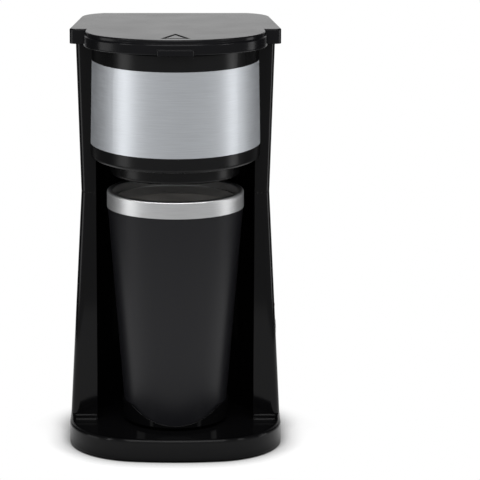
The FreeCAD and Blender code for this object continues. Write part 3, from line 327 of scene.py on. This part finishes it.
@dataclass(frozen=True)
class SatinPaint(Finish):
    """Baked powder coat: a satin skin with a fine orange peel."""

    specular: float = 0.25
    # The orange peel of a powder coat runs about a millimetre from crest to crest
    peel_mm: float = 0.9
    peel_depth_mm: float = 0.1
    peel_strength: float = 0.1

    def dress(self, tree: bpy.types.NodeTree, shader: bpy.types.Node) -> None:
        """Add the orange peel.

        Args:
            tree: Node tree of the material.
            shader: Its surface shader.
        """
        shader.inputs["Specular IOR Level"].default_value = self.specular
        bump = add_node(
            tree,
            "ShaderNodeBump",
            inputs={
                "Strength": self.peel_strength,
                "Distance": self.peel_depth_mm * MM,
                "Height": self.grain(tree, self.peel_mm),
            },
        )
        tree.links.new(bump.outputs["Normal"], shader.inputs["Normal"])


@dataclass(frozen=True)
class WovenMesh(Finish):
    """Fine steel cloth: a grid of wires with open meshes."""

    # Real filter cloth has a wire every 0.2 mm or so, drawn four times as coarse so that it shows
    pitch_mm: float = 0.8
    # Heights of the wave at which a wire begins and is solid
    wire_edge: tuple[float, float] = (0.55, 0.75)

    def dress(self, tree: bpy.types.NodeTree, shader: bpy.types.Node) -> None:
        """Open the meshes between upright and level wires.

        Args:
            tree: Node tree of the material.
            shader: Its surface shader.
        """
        place = add_node(tree, "ShaderNodeTexCoord")
        wires = [
            add_node(
                tree,
                "ShaderNodeTexWave",
                {"bands_direction": way},
                {"Vector": place.outputs["Object"], "Scale": WAVE_BAND / (self.pitch_mm * MM)},
            )
            for way in ("X", "Z")
        ]
        wire = add_node(
            tree,
            "ShaderNodeMath",
            {"operation": "MAXIMUM"},
            {0: wires[0].outputs["Fac"], 1: wires[1].outputs["Fac"]},
        )
        solid = add_node(
            tree,
            "ShaderNodeMapRange",
            inputs={
                "Value": wire.outputs["Value"],
                "From Min": self.wire_edge[0],
                "From Max": self.wire_edge[1],
            },
        )
        tree.links.new(solid.outputs["Result"], shader.inputs["Alpha"])


@dataclass(frozen=True)
class CastMetal(Finish):
    """Metal cast in sand: pale, with a coarse skin."""

    # Moulding sand has grains of about 0.4 mm, drawn three times as coarse so that they show
    skin_mm: float = 1.2
    skin_depth_mm: float = 0.2
    skin_strength: float = 0.4

    def dress(self, tree: bpy.types.NodeTree, shader: bpy.types.Node) -> None:
        """Add the casting skin.

        Args:
            tree: Node tree of the material.
            shader: Its surface shader.
        """
        bump = add_node(
            tree,
            "ShaderNodeBump",
            inputs={
                "Strength": self.skin_strength,
                "Distance": self.skin_depth_mm * MM,
                "Height": self.grain(tree, self.skin_mm),
            },
        )
        tree.links.new(bump.outputs["Normal"], shader.inputs["Normal"])


# Mirror-polished ABS: so black that only its reflections and lit edges show its shape
GLOSS_BLACK = MouldedGloss("gloss_black_abs", "#09090a", 0.1)
# The same on the base, whose rim turns over in a wider round with a softer highlight
BASE_BLACK = MouldedGloss("gloss_black_abs_base", "#09090a", 0.12, edge_mm=2.5)
# ABS polished less finely: seen at a low angle, the lid takes on the backdrop as an even grey sheen
LID_BLACK = MouldedGloss("polished_black_abs_lid", "#0d0d0f", 0.2)
# Satin ABS: wide soft sheen round the brew head, without sharp reflections
HEAD_BLACK = MouldedGloss("satin_black_abs", "#0b0b0c", 0.27, specular=0.2)
# Etched ABS: so dull that the lid's sign stays dark where the lid round it shines
ETCHED_BLACK = MouldedMatte("etched_black_abs", "#0a0a0b", 0.7)
# Powder coat: deep black with broad, soft, upright highlights
SATIN_BLACK = SatinPaint("satin_black_powder_coat", "#151518", 0.36)
# Polypropylene with carbon black: dark grey and dull
DARK_PLASTIC = MouldedMatte("dark_polypropylene", "#222224", 0.5)
# Polypropylene with a grey tint: a light, slightly waxy wall
GREY_PLASTIC = MouldedMatte("grey_polypropylene", "#8d8f92", 0.45)
# Moulded silicone: pale and soft, with no clear highlight
PALE_SILICONE = MouldedMatte("pale_silicone", "#d9d9d4", 0.55)
# Moulded rubber: dark, with hardly any shine
BLACK_RUBBER = MouldedMatte("black_rubber", "#202022", 0.75)
# Stainless sheet brushed round the head: two broad bright stripes between darker edges
BAND_STEEL = BrushedSteel("brushed_steel_band", "#e4e8ed", 0.38, 1.0)
# Stainless sheet brushed more finely: the same stripes, a little tighter and warmer
MUG_STEEL = BrushedSteel("brushed_steel_mug_band", "#e9eaeb", 0.34, 1.0)
# Stainless spun on a lathe: fine rings round the mug's inside. It is less metallic than real steel,
# because the photograph shows it paler than its dark surroundings would let it be
LINER_STEEL = BrushedSteel("spun_steel_liner", "#f1eeea", 0.4, 0.55, line_shade=0.6)
# Stainless wire cloth: a grey veil that lets the dark behind it through
WOVEN_STEEL = WovenMesh("woven_steel_cloth", "#a9abad", 0.35, 1.0)
# Steel drawn through a die: grey, with upright lines
PLAIN_STEEL = BrushedSteel("drawn_steel", "#a9abad", 0.35, 1.0, Brushing.UPRIGHT)
# Zinc-plated steel: bright, with small crisp highlights
BRIGHT_STEEL = BrushedSteel("bright_zinc_steel", "#b9bbbd", 0.22, 1.0)
# Aluminium cast in sand: pale and grainy, with no clear reflection
CAST_ALUMINIUM = CastMetal("cast_aluminium", "#b4b6b8", 0.5, 1.0)
# Ink from a printing pad: a flat broken white
WHITE_PRINT = MouldedMatte("white_pad_print", "#d8d8d6", 0.5)
# Polycarbonate from a polished mould: deep red with one sharp highlight
RED_LENS = MouldedGloss("red_polycarbonate_lens", "#7c1d14", 0.08)

NODE_FINISHES: dict[str, Finish] = {
    "base_housing": BASE_BLACK,
    "bottom_cover": DARK_PLASTIC,
    "rubber_feet": BLACK_RUBBER,
    "cover_screws": BRIGHT_STEEL,
    "lower_body": GLOSS_BLACK,
    "tower_screws": BRIGHT_STEEL,
    "upper_body": GLOSS_BLACK,
    "head_shell": HEAD_BLACK,
    "steel_band": BAND_STEEL,
    "head_floor": HEAD_BLACK,
    "filter_holder": HEAD_BLACK,
    "filter_frame": DARK_PLASTIC,
    "filter_mesh": WOVEN_STEEL,
    "lid_shell": LID_BLACK,
    "lid_liner": DARK_PLASTIC,
    "hinge_pins": BRIGHT_STEEL,
    "water_tank": GREY_PLASTIC,
    "tank_strainer": DARK_PLASTIC,
    "riser_tube": PALE_SILICONE,
    "riser_seal": BLACK_RUBBER,
    "spout_arm": DARK_PLASTIC,
    "shower_plate": DARK_PLASTIC,
    "boiler_block": CAST_ALUMINIUM,
    "water_tube": PLAIN_STEEL,
    "heating_rod": PLAIN_STEEL,
    "boiler_bracket": PLAIN_STEEL,
    "thermostat": DARK_PLASTIC,
    "thermal_fuse": PALE_SILICONE,
    "cold_hose": PALE_SILICONE,
    "hot_hose": PALE_SILICONE,
    "hose_clips": BRIGHT_STEEL,
    "mug_body": SATIN_BLACK,
    "mug_liner": LINER_STEEL,
    "mug_band": MUG_STEEL,
    "mug_boot": GLOSS_BLACK,
    "switch_housing": DARK_PLASTIC,
    "power_button": GLOSS_BLACK,
    "indicator_lens": RED_LENS,
    "lead_gland": DARK_PLASTIC,
}


def dress_nodes() -> None:
    """Give every piece of the frame its finish."""
    for name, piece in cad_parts.items():
        material = NODE_FINISHES[name].material()
        piece.data.materials.clear()
        piece.data.materials.append(material)
        log.info("%s: %s", name, material.name)


def select_only(pieces: list[bpy.types.Object]) -> None:
    """Select some pieces and nothing else.

    Args:
        pieces: Objects to select, the first of which becomes the active one.
    """
    bpy.ops.object.select_all(action="DESELECT")
    for piece in pieces:
        piece.select_set(True)
    bpy.context.view_layer.objects.active = pieces[0]


def pick_faces(piece: bpy.types.Object, chosen: Callable[[bpy.types.MeshPolygon], bool]) -> None:
    """Enter edit mode with some faces of a piece selected.

    Args:
        piece: Active mesh object.
        chosen: Tells whether a face is selected.
    """
    bpy.ops.object.mode_set(mode="EDIT")
    bpy.ops.mesh.select_mode(type="FACE")
    bpy.ops.mesh.select_all(action="DESELECT")
    bpy.ops.object.mode_set(mode="OBJECT")
    for face in piece.data.polygons:
        face.select = chosen(face)
    bpy.ops.object.mode_set(mode="EDIT")


def join_pieces(pieces: list[bpy.types.Object], name: str) -> bpy.types.Object:
    """Join pieces into one object whose place is in its mesh.

    Args:
        pieces: Objects to join.
        name: Name of the joined piece.

    Returns:
        The joined piece.
    """
    select_only(pieces)
    whole = pieces[0]
    if len(pieces) > 1:
        bpy.ops.object.join()
    bpy.ops.object.transform_apply(location=True, rotation=True, scale=True)
    bpy.ops.object.shade_smooth_by_angle(angle=SMOOTH_ANGLE)
    whole.name = name
    return whole


def cut_away(piece: bpy.types.Object, cutter: bpy.types.Object) -> None:
    """Cut one piece out of another, whose cut faces get the cutter's finish.

    Args:
        piece: Piece that is cut.
        cutter: Piece that is taken away, and is gone afterwards.
    """
    select_only([piece])
    cut = piece.modifiers.new("cut", "BOOLEAN")
    cut.operation = "DIFFERENCE"
    cut.object = cutter
    cut.material_mode = "TRANSFER"
    bpy.ops.object.modifier_apply(modifier=cut.name)
    bpy.data.objects.remove(cutter)


def put_on(piece: bpy.types.Object, finish: Finish, body: str, node: Optional[str] = None) -> None:
    """Give a piece its finish and the body that it moves with.

    Args:
        piece: New piece.
        finish: Its finish.
        body: Body of the part that carries it.
        node: Piece of the frame that it stands for.
    """
    piece.data.materials.clear()
    piece.data.materials.append(finish.material())
    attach(piece, body)
    if node is not None:
        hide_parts(node)
    log.info("%s: modelled, rides on %s", piece.name, body)


def corner_places(node: str, radius: float) -> list[tuple[float, float]]:
    """Middles of four round pieces that stand in the corners of a node's box.

    Args:
        node: Node that holds the four pieces.
        radius: Radius of each piece.

    Returns:
        Place of each middle along X and Y.
    """
    low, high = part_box(node)
    across = (low.x + radius, high.x - radius)
    along = (low.y + radius, high.y - radius)
    return [(x, y) for x in across for y in along]


@dataclass
class LidSign:
    """Lid with a sunk triangle near its front edge that shows where to lift."""

    front: float = -0.0585
    half_width: float = 0.0088
    length: float = 0.0215
    line: float = 0.0022
    depth: float = 0.0006

    def build(self) -> None:
        """Cut the triangle's outline into a copy of the lid, which stands for the plain one."""
        lid = self.merged_lid()
        cut_away(lid, self.outline())
        bpy.ops.object.mode_set(mode="EDIT")
        bpy.ops.mesh.select_all(action="SELECT")
        bpy.ops.mesh.dissolve_limited(angle_limit=FLAT_ANGLE, delimit={"MATERIAL"})
        bpy.ops.object.mode_set(mode="OBJECT")
        join_pieces([lid], lid.name)
        # The flat top stays flat to the eye where it meets the rounded shoulder
        flat = lid.modifiers.new("flat", "WEIGHTED_NORMAL")
        flat.keep_sharp = True
        bpy.ops.object.modifier_apply(modifier=flat.name)
        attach(lid, "lid")
        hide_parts("lid_shell")
        log.info("%s: modelled, rides on lid", lid.name)

    def merged_lid(self) -> bpy.types.Object:
        """Copy the plain lid and merge its loose triangles into one skin.

        Returns:
            The copy.
        """
        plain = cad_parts["lid_shell"]
        lid = bpy.data.objects.new("lid_with_sign", plain.data.copy())
        bpy.context.collection.objects.link(lid)
        select_only([lid])
        bpy.ops.mesh.customdata_custom_splitnormals_clear()
        bpy.ops.object.mode_set(mode="EDIT")
        bpy.ops.mesh.select_all(action="SELECT")
        bpy.ops.mesh.remove_doubles(threshold=MERGE_REACH)
        bpy.ops.object.mode_set(mode="OBJECT")
        lid.data.materials.clear()
        lid.data.materials.append(LID_BLACK.material())
        return lid

    def outline(self) -> bpy.types.Object:
        """Model the block that the sign's groove is cut with.

        Returns:
            The block, in the etched finish that the groove takes from it.
        """
        outline = self.triangle(0.0)
        cut_away(outline, self.triangle(self.line))
        outline.data.materials.append(ETCHED_BLACK.material())
        return outline

    def triangle(self, inset: float) -> bpy.types.Object:
        """Model a three-sided block that reaches from the sign's floor to above the lid.

        Args:
            inset: How far its sides lie inside the sign's outline.

        Returns:
            The block.
        """
        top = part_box("lid_shell")[1].z
        bpy.ops.object.select_all(action="DESELECT")
        # A block of any size, whose corners are then put in place
        bpy.ops.mesh.primitive_cylinder_add(vertices=3, radius=1.0, depth=2.0)
        block = bpy.context.object
        slant = math.atan2(self.half_width, self.length)
        front = self.front + inset
        apex = self.front + self.length - inset / math.sin(slant)
        half_width = (apex - front) * math.tan(slant)
        for corner in block.data.vertices:
            ahead = corner.co.y < 0
            corner.co.x = math.copysign(half_width, corner.co.x) if ahead else 0.0
            corner.co.y = front if ahead else apex
            corner.co.z = top + math.copysign(self.depth, corner.co.z)
        return block


@dataclass
class RubberFeet:
    """Four feet with a rounded lower edge and a ring groove that grips the table."""

    radius: float = 0.006
    sides: int = 48
    edge: float = 0.0005
    edge_steps: int = 3
    lip: float = 0.0013
    groove: float = 0.0012
    groove_depth: float = 0.0006

    def build(self) -> None:
        """Model the feet and let them stand for the plain pads."""
        feet = [self.foot(x, y) for x, y in corner_places("rubber_feet", self.radius)]
        put_on(join_pieces(feet, "grooved_feet"), BLACK_RUBBER, "machine", "rubber_feet")

    def foot(self, x: float, y: float) -> bpy.types.Object:
        """Model one foot.

        Args:
            x: Its middle along X.
            y: Its middle along Y.

        Returns:
            The foot.
        """
        low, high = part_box("rubber_feet")
        height = high.z - low.z
        bpy.ops.object.select_all(action="DESELECT")
        bpy.ops.mesh.primitive_cylinder_add(
            vertices=self.sides,
            radius=self.radius,
            depth=height,
            location=(x, y, low.z + height / 2),
        )
        foot = bpy.context.object
        pick_faces(foot, lambda face: face.normal.z < -FACING)
        bpy.ops.mesh.bevel(offset=self.edge, segments=self.edge_steps, affect="EDGES")
        pick_faces(foot, lambda face: face.normal.z < -FACING_SQUARELY)
        bpy.ops.mesh.inset(thickness=self.lip)
        bpy.ops.mesh.inset(thickness=self.groove)
        bpy.ops.object.mode_set(mode="OBJECT")
        groove_middle = self.radius - self.edge - self.lip - self.groove / 2

        def in_groove(face: bpy.types.MeshPolygon) -> bool:
            """Tell whether a face lies on the groove's middle line."""
            off_line = abs(face.center.xy.length - groove_middle)
            return face.normal.z < -FACING_SQUARELY and off_line < self.groove / 4

        pick_faces(foot, in_groove)
        bpy.ops.mesh.extrude_region_move(TRANSFORM_OT_translate={"value": (0, 0, self.groove_depth)})
        bpy.ops.object.mode_set(mode="OBJECT")
        return foot


@dataclass
class CoverScrews:
    """Four screws under the cover, with flat heads and cross recesses."""

    head_radius: float = 0.0028
    head_sides: int = 32
    head_height: float = 0.0011
    shank_radius: float = 0.0013
    edge: float = 0.00025
    edge_steps: int = 2
    slot_length: float = 0.0034
    slot_width: float = 0.0007
    slot_depth: float = 0.0007

    def build(self) -> None:
        """Model the screws and let them stand for the plain ones."""
        screws = [self.screw(x, y) for x, y in corner_places("cover_screws", self.head_radius)]
        put_on(join_pieces(screws, "cross_head_screws"), BRIGHT_STEEL, "machine", "cover_screws")

    def screw(self, x: float, y: float) -> bpy.types.Object:
        """Model one screw, head down.

        Args:
            x: Its middle along X.
            y: Its middle along Y.

        Returns:
            The screw.
        """
        low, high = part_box("cover_screws")
        bpy.ops.object.select_all(action="DESELECT")
        bpy.ops.mesh.primitive_cylinder_add(
            vertices=self.head_sides,
            radius=self.head_radius,
            depth=self.head_height,
            location=(x, y, low.z + self.head_height / 2),
        )
        screw = bpy.context.object
        pick_faces(screw, lambda face: face.normal.z < -FACING)
        bpy.ops.mesh.bevel(offset=self.edge, segments=self.edge_steps, affect="EDGES")
        pick_faces(screw, lambda face: face.normal.z > FACING)
        bpy.ops.mesh.inset(thickness=self.head_radius - self.shank_radius)
        shank = high.z - low.z - self.head_height
        bpy.ops.mesh.extrude_region_move(TRANSFORM_OT_translate={"value": (0, 0, shank)})
        bpy.ops.object.mode_set(mode="OBJECT")
        for size in ((self.slot_length, self.slot_width), (self.slot_width, self.slot_length)):
            self.cut_slot(screw, size)
        return screw

    def cut_slot(self, screw: bpy.types.Object, size: tuple[float, float]) -> None:
        """Cut one arm of the cross into a screw's head.

        Args:
            screw: Screw to cut.
            size: Length of the arm along X and Y.
        """
        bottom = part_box("cover_screws")[0].z
        place = (screw.location.x, screw.location.y, bottom)
        bpy.ops.object.select_all(action="DESELECT")
        bpy.ops.mesh.primitive_cube_add(size=1.0, location=place, scale=(*size, self.slot_depth * 2))
        cut_away(screw, bpy.context.object)


@dataclass
class PowerMark:
    """Raised on-off sign on the face of the power button: an open ring and a bar."""

    ring_radius: float = 0.0026
    ring_sides: int = 60
    line_radius: float = 0.0003
    line_sides: int = 10
    opening: float = math.radians(34)
    bar_length: float = 0.0022
    bar_sides: int = 16
    bar_drop: float = 0.00055
    bar_round: float = 0.00018
    bar_round_steps: int = 3

    def build(self) -> None:
        """Model the sign on the middle of the button's face."""
        low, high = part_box("power_button")
        middle = Vector((high.x, (low.y + high.y) / 2, (low.z + high.z) / 2))
        mark = join_pieces([self.ring(middle), self.bar(middle)], "power_mark")
        put_on(mark, WHITE_PRINT, "button")

    def ring(self, middle: Vector) -> bpy.types.Object:
        """Model the ring, open at its top.

        Args:
            middle: Middle of the button's face.

        Returns:
            The ring.
        """
        bpy.ops.object.select_all(action="DESELECT")
        bpy.ops.mesh.primitive_torus_add(
            major_segments=self.ring_sides,
            minor_segments=self.line_sides,
            major_radius=self.ring_radius,
            minor_radius=self.line_radius,
            location=middle,
            rotation=(0, math.pi / 2, 0),
        )
        ring = bpy.context.object
        bpy.ops.object.transform_apply(location=True, rotation=True, scale=True)

        def in_opening(face: bpy.types.MeshPolygon) -> bool:
            """Tell whether a face lies where the ring is open."""
            way = face.center - middle
            return abs(math.atan2(way.y, way.z)) < self.opening

        pick_faces(ring, in_opening)
        bpy.ops.mesh.delete(type="FACE")
        bpy.ops.mesh.select_all(action="SELECT")
        bpy.ops.mesh.fill_holes(sides=0)
        bpy.ops.object.mode_set(mode="OBJECT")
        return ring

    def bar(self, middle: Vector) -> bpy.types.Object:
        """Model the bar in the ring's opening.

        Args:
            middle: Middle of the button's face.

        Returns:
            The bar.
        """
        place = middle + Vector((0, 0, self.ring_radius - self.bar_drop))
        bpy.ops.object.select_all(action="DESELECT")
        bpy.ops.mesh.primitive_cylinder_add(
            vertices=self.bar_sides,
            radius=self.line_radius,
            depth=self.bar_length,
            location=place,
        )
        bar = bpy.context.object
        bpy.ops.object.transform_apply(location=True, rotation=True, scale=True)
        pick_faces(bar, lambda face: abs(face.normal.z) > FACING)
        bpy.ops.mesh.bevel(offset=self.bar_round, segments=self.bar_round_steps, affect="EDGES")
        bpy.ops.object.mode_set(mode="OBJECT")
        return bar


@dataclass
class LensDome:
    """Indicator lens with a low dome outside the tower's wall."""

    radius: float = 0.002
    dome: float = 0.0007
    sides: int = 32
    rings: int = 16

    def build(self) -> None:
        """Model the lens from a ball: halve it, press it flat and draw its stem inwards."""
        low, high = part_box("indicator_lens")
        middle = Vector((high.x, (low.y + high.y) / 2, (low.z + high.z) / 2))
        bpy.ops.object.select_all(action="DESELECT")
        bpy.ops.mesh.primitive_uv_sphere_add(
            segments=self.sides,
            ring_count=self.rings,
            radius=self.radius,
            rotation=(0, math.pi / 2, 0),
        )
        lens = bpy.context.object
        bpy.ops.object.transform_apply(location=True, rotation=True, scale=True)
        bpy.ops.object.mode_set(mode="EDIT")
        bpy.ops.mesh.select_all(action="SELECT")
        bpy.ops.mesh.bisect(plane_co=(0, 0, 0), plane_no=(1, 0, 0), use_fill=True, clear_inner=True)
        bpy.ops.mesh.select_all(action="SELECT")
        bpy.ops.transform.resize(value=(self.dome / self.radius, 1, 1), center_override=(0, 0, 0))
        pick_faces(lens, lambda face: face.normal.x < -FACING_SQUARELY)
        bpy.ops.mesh.extrude_region_move(TRANSFORM_OT_translate={"value": (low.x - high.x, 0, 0)})
        bpy.ops.object.mode_set(mode="OBJECT")
        lens.location = middle
        put_on(join_pieces([lens], "domed_lens"), RED_LENS, "machine", "indicator_lens")


@dataclass(frozen=True)
class SoftBox:
    """Lamp behind white cloth: soft even light, and a broad highlight on what mirrors it."""

    name: str
    place: Triple
    size: tuple[float, float]
    power: float

    def hang(self, target: Vector) -> None:
        """Hang the lamp so that it faces a point.

        Args:
            target: Point that it faces.
        """
        lamp = bpy.data.lights.new(self.name, "AREA")
        lamp.shape = "RECTANGLE"
        lamp.size, lamp.size_y = self.size
        lamp.energy = self.power
        box = bpy.data.objects.new(self.name, lamp)
        box.location = self.place
        aim = target - Vector(self.place)
        box.rotation_euler = aim.to_track_quat("-Z", "Y").to_euler()
        bpy.context.collection.objects.link(box)


# One large box above the front, a low one at each side, and a narrow one higher up at each side
SOFT_BOXES: tuple[SoftBox, ...] = (
    SoftBox("key_box", (0.0, -1.0, 1.7), (1.5, 1.2), 27.0),
    SoftBox("left_box", (-1.25, -0.2, 0.1), (0.5, 0.5), 1.9),
    SoftBox("right_box", (1.25, 0.05, 0.1), (0.35, 0.5), 1.7),
    SoftBox("left_top_box", (-1.1, -0.75, 0.8), (0.15, 0.5), 2.5),
    SoftBox("right_top_box", (1.1, -0.75, 0.8), (0.15, 0.5), 2.5),
)


@dataclass
class Studio:
    """White floor, soft boxes and a camera at the photograph's angle."""

    floor_radius: float = 0.35
    floor_sides: int = 96
    floor_opening: float = 0.06
    floor_shade: float = 0.82
    # To the camera the paper is this many times as bright, so that only the shadow shows on it
    floor_gain: float = 1.5
    # Painted contact shadow: within this reach an occlusion node darkens the paper's colour, over
    # the lamps' real shadow
    painted_contact_shadow_reach: float = 0.016
    painted_contact_shadow_samples: int = 8
    shadow_middle: Triple = (0.0, -0.014, 0.0)
    # The paper with the shadow fades to plain white from the first to the second of these distances
    shadow_reach: tuple[float, float] = (0.068, 0.1)
    # Brightness all round the object by how far behind it a direction points, from -1 to 1
    surround: tuple[tuple[float, float], ...] = (
        (-0.4, 0.5),
        (0.0, 0.06),
        (0.8, 0.04),
        (0.95, 0.7),
    )
    # Gloss, metal and clear pieces see the backdrop grow white from the first to the second of these
    backdrop: tuple[float, float] = (0.9, 1.0)
    lamp_aim_height: float = 0.14
    camera_distance: float = 1.5
    camera_height: float = 0.46
    aim_height: float = 0.135
    # Fitted to the photograph, in its pixels: focal length, width, and the point straight ahead
    focal_px: float = 2455.7
    image_px: float = 480.0
    axis_px: tuple[float, float] = (175.4, 225.7)

    def build(self) -> None:
        """Build the stage, the lamps and the camera."""
        self.floor()
        self.world()
        for box in SOFT_BOXES:
            box.hang(Vector((0.0, 0.0, self.lamp_aim_height)))
        self.camera()

    def floor(self) -> None:
        """Lay the floor, open under the base so that light reaches the underside."""
        bpy.ops.object.select_all(action="DESELECT")
        bpy.ops.mesh.primitive_circle_add(
            vertices=self.floor_sides, radius=self.floor_radius, fill_type="NGON"
        )
        plane = bpy.context.object
        plane.name = "floor"
        bpy.ops.object.mode_set(mode="EDIT")
        bpy.ops.mesh.select_all(action="SELECT")
        bpy.ops.mesh.inset(thickness=self.floor_radius - self.floor_opening)
        bpy.ops.mesh.delete(type="FACE")
        bpy.ops.object.mode_set(mode="OBJECT")
        plane.data.materials.append(self.paper())

    def ray_tests(
        self, tree: bpy.types.NodeTree
    ) -> tuple[bpy.types.NodeSocket, bpy.types.NodeSocket]:
        """Tell apart the rays that meet the floor or the world.

        Args:
            tree: Node tree of the floor or the world.

        Returns:
            One socket that is 1 for rays from the camera, and one that is 1 for rays that come by
            way of gloss, metal or a clear piece.
        """
        path = add_node(tree, "ShaderNodeLightPath")
        mirrored = add_node(
            tree,
            "ShaderNodeMath",
            {"operation": "MAXIMUM"},
            {0: path.outputs["Is Glossy Ray"], 1: path.outputs["Is Transmission Ray"]},
        )
        return path.outputs["Is Camera Ray"], mirrored.outputs["Value"]

    def paper(self) -> bpy.types.Material:
        """Make the floor's paper: it takes the object's shadow and a painted contact shadow, and is
        white farther out.

        From below it is clear, so that a low camera sees the underside.

        Returns:
            The material.
        """
        material = bpy.data.materials.new("white_paper_floor")
        material.use_nodes = True
        tree = material.node_tree
        tree.nodes.clear()
        from_camera, mirrored = self.ray_tests(tree)
        shade = add_node(
            tree,
            "ShaderNodeMapRange",
            {"clamp": False},
            {
                "Value": from_camera,
                "To Min": self.floor_shade,
                "To Max": self.floor_shade * self.floor_gain,
            },
        )
        # Painted contact shadow: the paper's colour is darkened where the object is near, over the
        # shadow that the lamps cast
        painted_contact_shadow = add_node(
            tree,
            "ShaderNodeAmbientOcclusion",
            {"samples": self.painted_contact_shadow_samples},
            {"Color": shade.outputs["Result"], "Distance": self.painted_contact_shadow_reach},
        )
        near = add_node(tree, "ShaderNodeBsdfDiffuse", inputs={"Color": painted_contact_shadow.outputs["Color"]})
        white = add_node(tree, "ShaderNodeEmission", inputs={"Strength": 1.0})
        place = add_node(tree, "ShaderNodeTexCoord")
        reach = add_node(
            tree,
            "ShaderNodeVectorMath",
            {"operation": "DISTANCE"},
            {0: place.outputs["Object"], 1: self.shadow_middle},
        )
        far = add_node(
            tree,
            "ShaderNodeMapRange",
            {"interpolation_type": "SMOOTHSTEP"},
            {
                "Value": reach.outputs["Value"],
                "From Min": self.shadow_reach[0],
                "From Max": self.shadow_reach[1],
            },
        )
        shown = add_node(
            tree, "ShaderNodeMath", {"operation": "MAXIMUM"}, {0: mirrored, 1: from_camera}
        )
        whitened = add_node(
            tree,
            "ShaderNodeMath",
            {"operation": "MULTIPLY"},
            {0: far.outputs["Result"], 1: shown.outputs["Value"]},
        )
        above = add_node(
            tree,
            "ShaderNodeMixShader",
            inputs={
                0: whitened.outputs["Value"],
                1: near.outputs["BSDF"],
                2: white.outputs["Emission"],
            },
        )
        clear = add_node(tree, "ShaderNodeBsdfTransparent")
        facing = add_node(tree, "ShaderNodeNewGeometry")
        one_sided = add_node(
            tree,
            "ShaderNodeMixShader",
            inputs={
                0: facing.outputs["Backfacing"],
                1: above.outputs["Shader"],
                2: clear.outputs["BSDF"],
            },
        )
        add_node(tree, "ShaderNodeOutputMaterial", inputs={"Surface": one_sided.outputs["Shader"]})
        return material

    def world(self) -> None:
        """Surround the object: white to the camera, else light before and behind, dark beside it."""
        world = bpy.data.worlds.new("white_studio")
        bpy.context.scene.world = world
        world.use_nodes = True
        tree = world.node_tree
        tree.nodes.clear()
        from_camera, mirrored = self.ray_tests(tree)
        place = add_node(tree, "ShaderNodeTexCoord")
        axes = add_node(tree, "ShaderNodeSeparateXYZ", inputs={0: place.outputs["Generated"]})
        behind = add_node(
            tree, "ShaderNodeMapRange", inputs={"Value": axes.outputs["Y"], "From Min": -1.0}
        )
        around = add_node(tree, "ShaderNodeValToRGB", inputs={0: behind.outputs["Result"]})
        stops = around.color_ramp.elements
        while len(stops) < len(self.surround):
            stops.new(1.0)
        for stop, (way, light) in zip(stops, self.surround):
            stop.position = (way + 1) / 2
            stop.color = (light, light, light, 1.0)
        backdrop = add_node(
            tree,
            "ShaderNodeMapRange",
            inputs={
                "Value": axes.outputs["Y"],
                "From Min": self.backdrop[0],
                "From Max": self.backdrop[1],
                "To Max": mirrored,
            },
        )
        shown = add_node(
            tree,
            "ShaderNodeMath",
            {"operation": "MAXIMUM"},
            {0: backdrop.outputs["Result"], 1: from_camera},
        )
        strength = add_node(
            tree,
            "ShaderNodeMath",
            {"operation": "MAXIMUM"},
            {0: around.outputs["Color"], 1: shown.outputs["Value"]},
        )
        sky = add_node(
            tree,
            "ShaderNodeBackground",
            inputs={"Color": (1.0, 1.0, 1.0, 1.0), "Strength": strength.outputs["Value"]},
        )
        add_node(tree, "ShaderNodeOutputWorld", inputs={"Surface": sky.outputs["Background"]})

    def camera(self) -> None:
        """Set the camera up where the photograph was taken from."""
        lens = bpy.data.cameras.new("camera")
        lens.lens = self.focal_px / self.image_px * lens.sensor_width
        lens.shift_x = (self.image_px / 2 - self.axis_px[0]) / self.image_px
        lens.shift_y = (self.axis_px[1] - self.image_px / 2) / self.image_px
        camera = bpy.data.objects.new("camera", lens)
        drop = self.camera_height - self.aim_height
        camera.location = (0.0, BREW_AXIS_Y - self.camera_distance, self.camera_height)
        camera.rotation_euler = (math.pi / 2 - math.atan2(drop, self.camera_distance), 0.0, 0.0)
        bpy.context.collection.objects.link(camera)
        bpy.context.scene.camera = camera


def main() -> None:
    """Dress the part, model its small pieces and build the studio."""
    logging.basicConfig(level=logging.INFO)
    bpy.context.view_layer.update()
    bpy.context.scene.view_settings.view_transform = "Standard"
    dress_nodes()
    for piece in (LidSign(), RubberFeet(), CoverScrews(), PowerMark(), LensDome()):
        piece.build()
    Studio().build()


if __name__ == "__main__":
    main()
